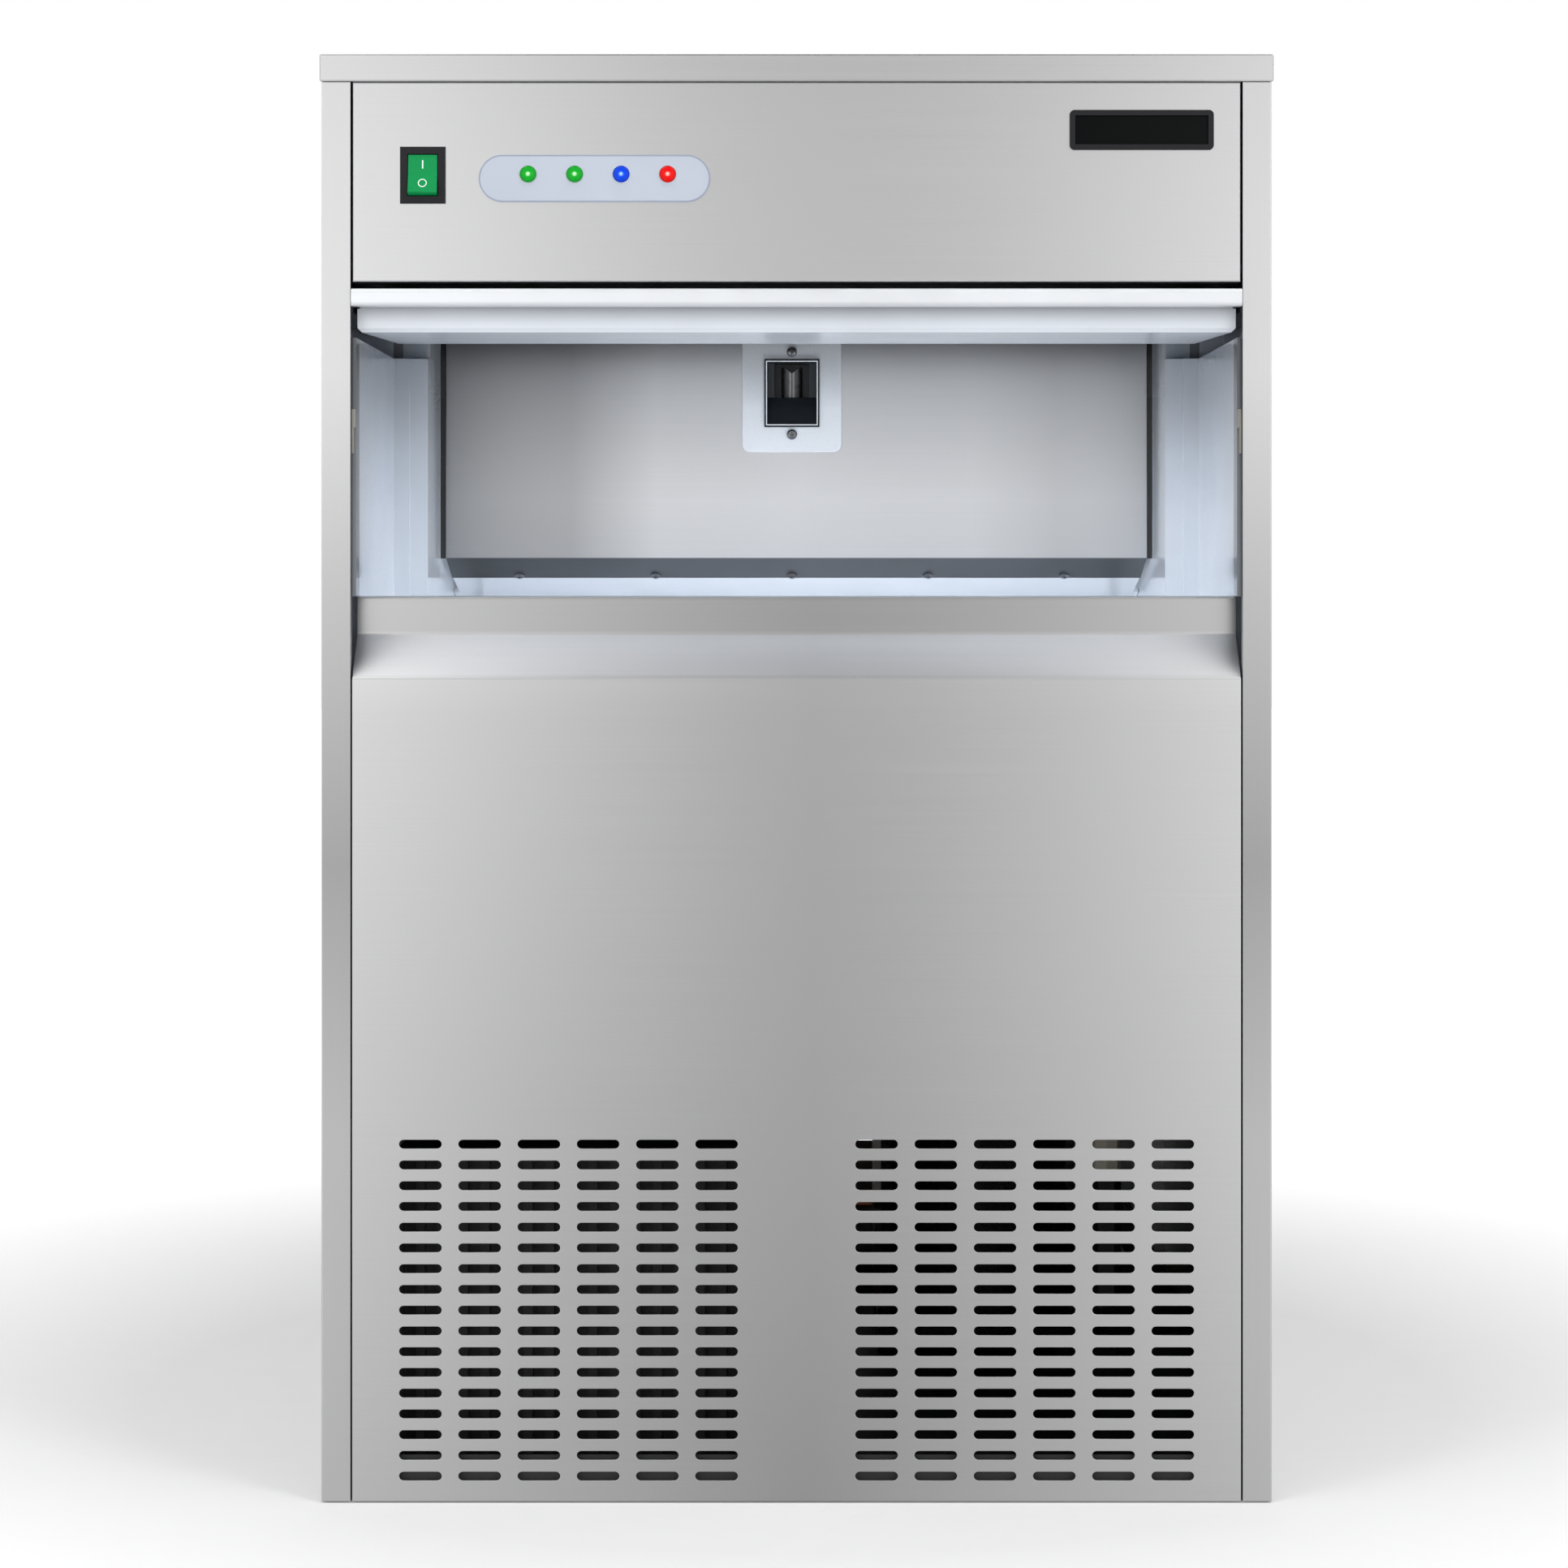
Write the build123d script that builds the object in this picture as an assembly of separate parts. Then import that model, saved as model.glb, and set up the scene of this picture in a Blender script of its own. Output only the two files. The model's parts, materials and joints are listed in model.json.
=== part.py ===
from build123d import *
import math
import os

os.makedirs("parts", exist_ok=True)

# Lengths are in millimetres. +Z is up, the front faces -Y and the origin is on the floor, below the middle.
# The bin door is modelled open, pushed back under the control panel.

# Cabinet
body_width = 515.0
overall_depth = 600.0
overall_height = 785.0
sheet = 1.0
lid_overhang = 1.0
lid_skirt = 14.7
lid_hem = 9.0
edge_radius = 0.7
post_width = 15.8
post_lip = 5.0
panel_gap = 0.9
flange = 14.0
floor_gap = 1.0
seat_gap = 0.3
connector_reach = 18.0
lip_proud = 5.0
base_height = 25.0
base_sheet = 2.0
leg_inset = 45.0
leg_thread_radius = 5.0
leg_socket_radius = 9.0
leg_socket_height = 12.0

# Control panel and what it carries
control_height = 108.1
switch_x = -202.5
switch_z = 719.5
switch_width = 24.6
switch_height = 30.8
switch_frame = 4.0
switch_rim = 1.6
switch_wall = 1.2
switch_body_depth = 24.0
switch_well = 13.0
rocker_gap = 0.4
rocker_pivot_depth = 1.0
rocker_crest = 4.0
rocker_dip = 2.6
rocker_back = 6.0
rocker_throw = 22.0
plate_x = -109.5
plate_z = 717.7
plate_length = 125.4
plate_height = 25.6
plate_thickness = 0.8
lamp_first_x = -145.4
lamp_pitch = 25.2
lamp_z = 720.0
lamp_radius = 4.85
lamp_bulge = 2.2
lamp_stem_radius = 3.6
lamp_stem_length = 11.0
lamp_sides = 12
hole_sides = 6
hole_play = 0.2
slot_shoulder = 0.4
display_x = 187.0
display_z = 744.0
display_width = 78.0
display_height = 21.6
display_rim = 2.0
display_corner = 2.6
display_proud = 1.2
display_depth = 12.0
display_glass = 1.5

# Lower front panel
sill_z = 491.3
ledge_face = 20.7
vent_length = 23.1
vent_height = 4.8
vent_pitch_x = 32.1
vent_pitch_z = 11.24
vent_columns = 6
vent_rows = 17
vent_first_z = 14.6
vent_group_x = 123.6

# Bin door, with lengths along the door from its pivot pins
door_thickness = 23.3
door_clearance = 0.5
door_face = 11.8
door_lip_length = 194.0
door_overhang = 8.0
door_pin_z = 652.0
door_rest_tilt = 1.75
door_liner_half = 239.0
door_skin_half = 238.5
door_lip_half = 241.0
door_liner_depth = 12.8
door_liner_wall = 2.0
door_liner_radius = 2.2
lip_thickness = 9.6
lip_reach = 13.0
lip_radius = 2.4
door_seam = 0.9
hinge_block_width = 13.0
pin_radius = 2.5
pin_play = 0.05
pin_reach = 10.0
shoe_length = 10.0
shoe_play = 0.2
groove_height = 6.0
groove_depth = 6.0
track_height = 12.0
track_gap = 0.6

# Bin and ice compartment
liner_wall = 2.5
mouth_half = 239.5
rear_half = 219.7
step_depth = 197.0
step_bead_half = 230.3
step_bead = 3.0
bin_floor_z = 217.5
bin_front_depth = 42.0
rear_insulation = 46.0
wall_front_depth = 7.0
wall_top_z = 632.0
upper_front_depth = 215.0
roof_z = 669.0
bay_lip = 5.0
compartment_top_z = 757.0
foam_floor_z = 203.0
drain_x = 176.0
drain_y = -190.0
drain_flange_radius = 14.0
chase_x = (-62.0, 12.0)
chase_top_z = 715.0

# Baffle, chute and ice level sensor
baffle_depth = 275.0
baffle_half = 215.9
baffle_sheet = 1.2
baffle_bend_z = 513.5
baffle_run = 41.0
baffle_drop = 12.0
baffle_screw_pitch = 85.2
baffle_screw_inset = 7.0
screw_head_radius = 3.2
screw_head_height = 2.0
screw_sides = 8
chute_run = 66.0
chute_drop = 12.0
chute_wall = 3.0
chute_lap = 13.0
sensor_x = -2.8
sensor_plate_half = 30.5
sensor_plate_bottom_z = 579.0
sensor_plate_top_z = 655.0
sensor_plate_thickness = 2.0
sensor_plate_corner = 5.0
sensor_housing_half = 16.8
sensor_housing_bottom_z = 594.5
sensor_housing_top_z = 636.0
sensor_housing_depth = 26.0
sensor_wall = 1.6
sensor_rim = 1.5
sensor_slope_run = 12.0
sensor_well_z = 613.0
sensor_well_half = 10.75
sensor_bulb_radius = 6.5
sensor_bulb_height = 19.0
sensor_notch = 4.0
sensor_screw_gap = 4.7
clip_z = 593.0
clip_height = 10.0
clip_tail = 24.0
clip_depth = 2.7
clip_width = 2.1

# Ice maker
cell_columns = 7
cell_rows = 4
cell_pitch = 36.0
cell_size = 30.0
cell_depth = 26.0
cell_edge = 3.0
evaporator_y = 128.0
evaporator_bottom_z = 656.0
evaporator_height = 30.0
coil_legs = 6
coil_pitch = 40.0
coil_width = 9.0
coil_height = 7.0
coil_inset = 12.0
hanger_width = 3.0
tray_gap = 8.0
tray_margin = 9.0
tray_depth = 36.0
tray_wall = 3.0
tray_axis_back = 2.0
tray_axis_drop = 8.0
ear_thickness = 6.0
ear_radius = 9.0
shaft_radius = 4.0
shaft_play = 0.05
shaft_reach = 18.0
shaft_sides = 12
bracket_half = 15.0
motor_back_x = 200.0
tilt_motor_width = 40.0
tilt_motor_height = 56.0
tilt_motor_lug = 8.0
pump_radius = 15.0
pump_height = 44.0
pump_y = 80.0

# Machine compartment
condenser_x = -128.0
condenser_y = -240.0
condenser_width = 192.0
condenser_height = 178.0
condenser_depth = 44.0
condenser_rows = 5
condenser_tube = 8.0
fin_pitch = 12.0
fin_width = 5.0
fin_groove_depth = 7.0
shroud_depth = 34.0
shroud_sheet = 1.5
ring_sides = 40
fan_radius = 72.0
fan_clearance = 5.0
fan_hub_radius = 18.0
fan_hub_length = 18.0
fan_blades = 5
fan_blade_angle = 25.0
fan_blade_thickness = 1.6
fan_root = 14.0
fan_tip = 34.0
fan_shaft_radius = 3.0
motor_size = 52.0
motor_depth = 34.0
motor_gap = 12.0
arm_width = 22.0
compressor_x = 118.0
compressor_y = 140.0
compressor_radius = 68.0
compressor_height = 142.0
compressor_crown = 16.0
compressor_foot = 4.0
compressor_lift = 14.0
compressor_sides = 32
grommet_radius = 9.0
pipe_bend = 24.0
pipe_sides = 6
suction_radius = 4.5
suction_x = -28.0
liquid_radius = 3.0
liquid_x = 0.0
drier_y = -60.0
drier_length = 80.0
drier_radius = 11.0
water_radius = 3.5
water_x = -50.0

# Control bay
box_x = (44.0, 234.0)
box_y = (-262.0, -100.0)
box_height = 70.0
relay_size = 18.0
relay_count = 4
relay_pitch = 25.2

# Rear connections
inlet_x = -150.0
inlet_z = 150.0
inlet_thread_radius = 13.2
inlet_bore = 8.0
fitting_inside = 18.0
valve_size = 34.0
drain_out_x = 225.0
drain_out_z = 60.0
drain_spigot_radius = 9.0
drain_bore = 6.5
spigot_bottom_z = 160.0
collar_radius = 13.0
collar_height = 4.0
hose_offset_y = 90.0
hose_bend = 30.0
gland_x = -205.0
gland_z = 60.0
gland_radius = 9.0
gland_bore_radius = 4.0
gland_inside = 12.0
gland_outside = 10.0
hex_extra = 4.0
hex_thickness = 3.0
screw_inset = 8.0
rear_vent_length = 70.0
rear_vent_height = 6.0
rear_vent_pitch_x = 90.0
rear_vent_pitch_z = 14.0
rear_vent_rows = 5
rear_vent_z = 70.0

# Places that follow from the sizes above
half_body = body_width / 2
half_depth = overall_depth / 2
front_y = lip_proud - half_depth
rear_y = half_depth - connector_reach
panel_top_z = overall_height - lid_skirt - seat_gap
panel_half = half_body - post_width - panel_gap
control_bottom_z = panel_top_z - control_height
control_back_y = front_y + flange
ledge_y = front_y + door_thickness + door_clearance
slope_top_z = sill_z - ledge_face
slope_bottom_z = slope_top_z - (ledge_y - front_y)
bin_front_y = front_y + bin_front_depth
bin_rear_y = rear_y - rear_insulation
step_y = front_y + step_depth
baffle_y = front_y + baffle_depth
upper_front_y = front_y + upper_front_depth


def block(x, y, z):
    """A box that spans the given (low, high) pair on each axis."""
    middle = Pos((x[0] + x[1]) / 2, (y[0] + y[1]) / 2, (z[0] + z[1]) / 2)
    return middle * Box(x[1] - x[0], y[1] - y[0], z[1] - z[0])


def prism_x(points, low, high):
    """A profile given as (y, z) points, extruded along X."""
    outline = Polyline(*[(low, y, z) for y, z in points], close=True)
    return extrude(make_face(outline.edges()), amount=high - low, dir=(1, 0, 0))


def prism_z(points, low, high):
    """A plan outline given as (x, y) points, extruded upwards."""
    outline = Polyline(*[(x, y, low) for x, y in points], close=True)
    return extrude(make_face(outline.edges()), amount=high - low, dir=(0, 0, 1))


def folded(points, thickness):
    """The closed section of a folded sheet whose outside is the given open outline.

    The thickness lies to the left of the outline's direction, with mitred bends.
    """
    inside = []
    for index, (x, y) in enumerate(points):
        near = [points[max(index - 1, 0)], points[min(index, len(points) - 2)]]
        far = [points[max(index, 1)], points[min(index + 1, len(points) - 1)]]
        normals = []
        for (x0, y0), (x1, y1) in zip(near, far):
            length = math.hypot(x1 - x0, y1 - y0)
            normals.append(((y0 - y1) / length, (x1 - x0) / length))
        (ax, ay), (bx, by) = normals
        share = thickness / (1 + ax * bx + ay * by)
        inside.append((x + (ax + bx) * share, y + (ay + by) * share))
    return points + inside[::-1]


def rod(start, end, radius):
    """A round bar between two points."""
    path = Vector(*end) - Vector(*start)
    return extrude(Plane(origin=start, z_dir=path) * Circle(radius), amount=path.length)


def both_sides(shape):
    """The shape together with its mirror image across the middle plane."""
    return [shape, mirror(shape, about=Plane.YZ)]


def punched(radius):
    """A clearance hole for a stem of the given radius, drawn with few flats."""
    return RegularPolygon(radius + hole_play, hole_sides, major_radius=False)


def slot_shape(length, height):
    """A slot whose round ends are drawn with two flats each."""
    shoulder = length / 2 - height * slot_shoulder
    right = [(shoulder, height / 2), (length / 2, 0), (shoulder, -height / 2)]
    left = [(-x, y) for x, y in right[::-1]]
    return make_face(Polyline(*right, *left, close=True).edges())


def save(name, *shapes):
    """Writes one node, which may hold several separate solids."""
    solids = [solid for shape in shapes for solid in shape.solids()]
    piece = solids[0] if len(solids) == 1 else Compound(solids)
    export_step(piece, f"parts/{name}.step")


def make_top_cover():
    half = half_body + lid_overhang
    front = front_y - lid_overhang
    rear = rear_y + lid_overhang
    bottom = overall_height - lid_skirt
    shell = block((-half, half), (front, rear), (bottom, overall_height))
    shell = chamfer(shell.edges(), edge_radius)
    pocket = block(
        (sheet - half, half - sheet), (front + sheet, rear - sheet), (bottom + sheet, overall_height - sheet)
    )
    mouth_x = (lid_hem - half, half - lid_hem)
    mouth = block(mouth_x, (front + lid_hem, rear - lid_hem), (bottom, bottom + sheet))
    save("top_cover", shell - pocket - mouth)


def make_side_panels():
    post_x = half_body - post_width
    flange_y = rear_y - sheet
    outline = [
        (post_x, front_y + post_lip),
        (post_x, front_y),
        (half_body, front_y),
        (half_body, flange_y),
        (half_body - flange, flange_y),
    ]
    panel = prism_z(folded(outline, sheet), floor_gap, panel_top_z)
    corners = [edge for edge in panel.edges().filter_by(Axis.Z) if edge.center().X > half_body - sheet / 2]
    panel = fillet(corners, edge_radius)
    top_x = (half_body - flange, half_body - sheet)
    top = block(top_x, (front_y + sheet, flange_y), (panel_top_z - sheet, panel_top_z))
    right, left = both_sides(panel + top)
    save("right_side_panel", right)
    save("left_side_panel", left)


def make_back_panel():
    panel = block((-half_body, half_body), (rear_y - sheet, rear_y), (floor_gap, panel_top_z))
    back = Plane(origin=(0, rear_y, 0), x_dir=(-1, 0, 0), z_dir=(0, 1, 0))
    slots = Pos(0, rear_vent_z + rear_vent_pitch_z * (rear_vent_rows - 1) / 2) * GridLocations(
        rear_vent_pitch_x, rear_vent_pitch_z, 2, rear_vent_rows
    )
    cuts = [back * slot * slot_shape(rear_vent_length, rear_vent_height) for slot in slots]
    cuts.append(back * Pos(-inlet_x, inlet_z) * punched(inlet_thread_radius))
    cuts.append(back * Pos(-drain_out_x, drain_out_z) * punched(drain_spigot_radius))
    cuts.append(back * Pos(-gland_x, gland_z) * Circle(gland_radius + hole_play))
    save("back_panel", panel - extrude(Sketch() + cuts, amount=-sheet))


def leg_places():
    """Where the four levelling legs screw in, as (x, y)."""
    x = half_body - leg_inset
    return [(side * x, y) for side in (-1, 1) for y in (front_y + leg_inset, rear_y - leg_inset)]


def make_base_pan():
    half = half_body - sheet
    front = front_y + post_lip + seat_gap
    rear = rear_y - 2 * sheet - seat_gap
    pan = block((-half, half), (front, rear), (0, base_height))
    inside = (base_sheet - half, half - base_sheet)
    pan -= block(inside, (front + base_sheet, rear - base_sheet), (base_sheet, base_height))
    sockets = []
    for x, y in leg_places():
        pan -= extrude(Pos(x, y) * punched(leg_thread_radius), amount=base_sheet)
        nut = Pos(x, y, base_sheet) * RegularPolygon(leg_socket_radius, 6)
        socket = extrude(nut, amount=leg_socket_height)
        sockets.append(socket - rod((x, y, 0), (x, y, base_height), leg_thread_radius))
    save("base_pan", pan)
    save("leg_sockets", *sockets)


def make_lower_front_panel():
    back_y = bin_front_y - liner_wall - seat_gap
    outline = [
        (back_y, sill_z),
        (ledge_y, sill_z),
        (ledge_y, slope_top_z),
        (front_y, slope_bottom_z),
        (front_y, floor_gap),
    ]
    panel = prism_x(folded(outline, sheet), -panel_half, panel_half)
    stiffener_z = (base_height + seat_gap, slope_bottom_z)
    stiffener = block((panel_half - sheet, panel_half), (front_y + sheet, front_y + flange), stiffener_z)
    for piece in both_sides(stiffener):
        panel += piece
    face = Plane(origin=(0, front_y, 0), x_dir=(1, 0, 0), z_dir=(0, -1, 0))
    middle_z = vent_first_z + vent_pitch_z * (vent_rows - 1) / 2
    slots = Sketch()
    for side in (-1, 1):
        group = Pos(side * vent_group_x, middle_z)
        grid = group * GridLocations(vent_pitch_x, vent_pitch_z, vent_columns, vent_rows)
        slots += [slot * slot_shape(vent_length, vent_height) for slot in grid]
    panel -= extrude(face * slots, amount=-sheet)
    save("lower_front_panel", panel)


def make_control_panel():
    span = (-panel_half, panel_half)
    panel = block(span, (front_y, control_back_y), (control_bottom_z, panel_top_z))
    panel = chamfer(panel.faces().sort_by(Axis.Y)[0].edges(), edge_radius)
    inside = (sheet - panel_half, panel_half - sheet)
    panel -= block(inside, (front_y + sheet, control_back_y), (control_bottom_z + sheet, panel_top_z - sheet))
    front = Plane(origin=(0, front_y, 0), x_dir=(1, 0, 0), z_dir=(0, -1, 0))
    room = 2 * hole_play - 2 * switch_wall
    cuts = [front * Pos(switch_x, switch_z) * Rectangle(switch_width + room, switch_height + room)]
    room = 2 * hole_play - 2 * display_rim
    cuts.append(front * Pos(display_x, display_z) * Rectangle(display_width + room, display_height + room))
    for x in lamp_places():
        cuts.append(front * Pos(x, lamp_z) * punched(lamp_stem_radius))
    save("control_panel", panel - extrude(Sketch() + cuts, amount=-sheet))


def lamp_places():
    """X of each indicator lamp, from left to right."""
    return [lamp_first_x + lamp_pitch * number for number in range(4)]


def make_switch():
    def box_at(width, height, low, high):
        x = (switch_x - width / 2, switch_x + width / 2)
        return block(x, (front_y + low, front_y + high), (switch_z - height / 2, switch_z + height / 2))

    rim = box_at(switch_width, switch_height, -switch_rim, 0)
    rim = chamfer(rim.faces().sort_by(Axis.Y)[0].edges(), edge_radius)
    body = box_at(switch_width - 2 * switch_wall, switch_height - 2 * switch_wall, 0, switch_body_depth)
    well_width = switch_width - 2 * switch_frame
    well_height = switch_height - 2 * switch_frame
    well = box_at(well_width, well_height, -switch_rim, switch_well)
    save("switch_housing", rim + body - well)

    reach = well_height / 2 - rocker_gap / 2
    crest_z = math.sqrt(reach**2 - rocker_crest**2)
    back_z = math.sqrt(reach**2 - rocker_back**2)
    upper = ThreePointArc((-rocker_crest, crest_z), (0, reach), (rocker_back, back_z))
    lower = ThreePointArc((rocker_back, -back_z), (0, -reach), (-rocker_crest, -crest_z))
    face = Polyline((-rocker_crest, -crest_z), (-rocker_dip, 0), (-rocker_crest, crest_z))
    back = Line((rocker_back, back_z), (rocker_back, -back_z))
    profile = Plane.YZ * make_face((upper + lower + face + back).edges())
    width = well_width - 2 * rocker_gap
    rocker = extrude(profile, amount=width / 2, both=True)
    pivot = Pos(switch_x, front_y + rocker_pivot_depth, switch_z)
    save("switch_rocker", pivot * Rot(X=-rocker_throw / 2) * rocker)


def make_indicators():
    front = Plane(origin=(0, front_y, 0), x_dir=(1, 0, 0), z_dir=(0, -1, 0))
    shape = Pos(plate_x, plate_z) * SlotOverall(plate_length, plate_height)
    holes = [Pos(x, lamp_z) * punched(lamp_stem_radius) for x in lamp_places()]
    save("indicator_plate", extrude(front * (shape - holes), amount=plate_thickness))
    stem = extrude(RegularPolygon(lamp_stem_radius, lamp_sides), amount=-lamp_stem_length)
    head = extrude(RegularPolygon(lamp_radius, lamp_sides), amount=lamp_bulge)
    head = chamfer(head.faces().sort_by(Axis.Z)[-1].edges(), lamp_bulge * 0.7, lamp_bulge)
    for number, x in enumerate(lamp_places(), start=1):
        seat = Plane(origin=(x, front_y - plate_thickness, lamp_z), z_dir=(0, -1, 0))
        save(f"indicator_lamp_{number}", seat.location * (stem + head))


def make_display():
    front = Plane(origin=(display_x, front_y, display_z), x_dir=(1, 0, 0), z_dir=(0, -1, 0))
    outline = RectangleRounded(display_width, display_height, display_corner)
    body = Rectangle(display_width - 2 * display_rim, display_height - 2 * display_rim)
    opening = Rectangle(display_width - 3 * display_rim, display_height - 3 * display_rim)
    bezel = extrude(front * outline, amount=display_proud)
    bezel += extrude(front * body, amount=-display_depth)
    bezel -= extrude(front * opening, amount=display_proud)
    bezel -= extrude(front * opening, amount=-display_glass)
    save("display_bezel", bezel)
    window = offset(opening, amount=-hole_play, kind=Kind.INTERSECTION)
    save("display_window", extrude(front * window, amount=-display_glass))


def door_location():
    """The open door's pivot axis, and its slight slope down to the grip lip."""
    tilt = math.radians(door_rest_tilt)
    pin_y = -half_depth + door_lip_length * math.cos(tilt) + door_face * math.sin(tilt)
    return Pos(0, pin_y, door_pin_z) * Rot(X=door_rest_tilt)


def make_door():
    """The door's pieces, drawn flat with the pivot axis through the origin and the outside face up."""
    place = door_location()
    lip_end = -door_lip_length
    body_end = lip_end + lip_reach
    lip_bottom = door_face - lip_thickness
    liner_bottom = door_face - door_thickness
    liner_top = liner_bottom + door_liner_depth

    lip = block((-door_lip_half, door_lip_half), (lip_end, body_end), (lip_bottom, door_face))
    front_edges = lip.faces().sort_by(Axis.Y)[0].edges().filter_by(Axis.X)
    lip = fillet(front_edges, lip_radius)
    save("door_grip_lip", place * lip)

    skin_bottom = lip_bottom + door_seam
    skin = block((-door_skin_half, door_skin_half), (body_end, door_overhang), (skin_bottom, door_face))
    skin_inside = (sheet - door_skin_half, door_skin_half - sheet)
    skin -= block(skin_inside, (body_end, door_overhang - sheet), (skin_bottom, door_face - sheet))
    save("door_outer_skin", place * skin)

    liner = block((-door_liner_half, door_liner_half), (body_end, door_overhang), (liner_bottom, liner_top))
    bottom_edges = liner.faces().sort_by(Axis.Z)[0].edges()
    liner = chamfer(bottom_edges, door_liner_radius)
    inner_half = door_liner_half - door_liner_wall
    hollow_y = (body_end + door_liner_wall, door_overhang - door_liner_wall)
    liner -= block((-inner_half, inner_half), hollow_y, (liner_bottom + door_liner_wall, liner_top))
    hole = extrude(Plane.YZ * punched(pin_radius), amount=half_body, both=True)
    save("door_inner_panel", place * (liner - hole))

    core_low = block((-inner_half, inner_half), hollow_y, (liner_bottom + door_liner_wall, liner_top))
    core_half = door_skin_half - sheet
    core_y = (body_end, door_overhang - sheet)
    core_high = block((-core_half, core_half), core_y, (liner_top, door_face - sheet))
    core = core_low + core_high
    pocket = block(
        (inner_half - hinge_block_width, half_body),
        (-door_overhang, door_overhang),
        (liner_bottom + door_liner_wall, door_face - sheet),
    )
    for piece in both_sides(pocket):
        core -= piece
    save("door_insulation", place * core)

    hinge_block = block(
        (inner_half - hinge_block_width, inner_half),
        (-door_overhang, door_overhang - door_liner_wall),
        (liner_bottom + door_liner_wall, door_face - sheet),
    )
    bore_start = (inner_half - pin_reach, 0, 0)
    hinge_block -= rod(bore_start, (inner_half, 0, 0), pin_radius + pin_play)
    right, left = both_sides(hinge_block)
    save("door_hinge_blocks", place * right, place * left)


def make_door_tracks():
    """The sliding shoes with their pivot pins, and the grooved tracks that guide them."""
    centre = door_location().position
    track_x = door_lip_half + track_gap
    shoe_half = groove_height / 2 - shoe_play
    shoe = block(
        (track_x + shoe_play, track_x + groove_depth - shoe_play),
        (centre.Y - shoe_length / 2, centre.Y + shoe_length / 2),
        (door_pin_z - shoe_half, door_pin_z + shoe_half),
    )
    pin_x = door_liner_half - door_liner_wall - pin_reach + seat_gap
    pin_seat = Plane(origin=(pin_x, centre.Y, door_pin_z), x_dir=(0, 1, 0), z_dir=(1, 0, 0))
    pin = extrude(pin_seat * RegularPolygon(pin_radius, shaft_sides), amount=track_x + shoe_play - pin_x)
    save("door_shoes", *both_sides(shoe + pin))

    closed_y = front_y + door_face
    track_y = (front_y + post_lip + seat_gap, centre.Y + shoe_length)
    groove_y = (closed_y - shoe_length / 2 - seat_gap, centre.Y + shoe_length / 2 + seat_gap)
    track_z = (door_pin_z - track_height / 2, door_pin_z + track_height / 2)
    groove_z = (door_pin_z - groove_height / 2, door_pin_z + groove_height / 2)
    track = block((track_x, half_body - sheet), track_y, track_z)
    track -= block((track_x, track_x + groove_depth), groove_y, groove_z)
    save("door_tracks", *both_sides(track))


def liner_plan(offset):
    """Half of the bin's plan, from the front corner to the rear, moved outwards by the offset."""
    return [
        (mouth_half + offset, step_y + offset),
        (step_bead_half + offset, step_y + offset),
        (step_bead_half + offset, step_y + step_bead + offset),
        (rear_half + offset, step_y + step_bead + offset),
        (rear_half + offset, bin_rear_y + offset),
    ]


def mirrored_plan(half):
    """A closed plan outline from its right half, which starts and ends away from the middle."""
    return half + [(-x, y) for x, y in half[::-1]]


def make_bin_liner():
    outer_front = bin_front_y - liner_wall
    wall_front = front_y + wall_front_depth
    outer_tub = mirrored_plan([(mouth_half + liner_wall, outer_front)] + liner_plan(liner_wall))
    inner_tub = mirrored_plan([(mouth_half, bin_front_y)] + liner_plan(0))
    tub = prism_z(outer_tub, bin_floor_z - liner_wall, sill_z) - prism_z(inner_tub, bin_floor_z, sill_z)
    outer_walls = mirrored_plan([(mouth_half + liner_wall, wall_front)] + liner_plan(liner_wall))
    inner_walls = mirrored_plan([(mouth_half, wall_front)] + liner_plan(0))
    walls = prism_z(outer_walls, sill_z, wall_top_z) - prism_z(inner_walls, sill_z, wall_top_z)
    side = (-rear_half - liner_wall, rear_half + liner_wall)
    upper_z = (wall_top_z, compartment_top_z + liner_wall)
    upper = block(side, (upper_front_y, bin_rear_y + liner_wall), upper_z)
    upper -= block((-rear_half, rear_half), (upper_front_y, bin_rear_y), (wall_top_z, compartment_top_z))
    drain = extrude(Pos(drain_x, drain_y) * punched(drain_spigot_radius), amount=bin_floor_z)
    rib = block(
        (baffle_half + seat_gap, rear_half),
        (baffle_y + baffle_sheet + seat_gap, baffle_y + flange),
        (baffle_bend_z, compartment_top_z),
    )
    liner = tub + walls + upper - drain
    rear = Plane(origin=(0, bin_rear_y, 0), x_dir=(-1, 0, 0), z_dir=(0, 1, 0))
    coil_z = coil_end()[2]
    for x, z, radius in (
        (suction_x, coil_z, suction_radius),
        (liquid_x, coil_z, liquid_radius),
        (water_x, coil_z + pipe_bend / 2, water_radius),
    ):
        liner -= extrude(rear * Pos(-x, z) * punched(radius + hole_play), amount=liner_wall)
    for piece in both_sides(rib):
        liner += piece
    save("bin_liner", liner)


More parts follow.
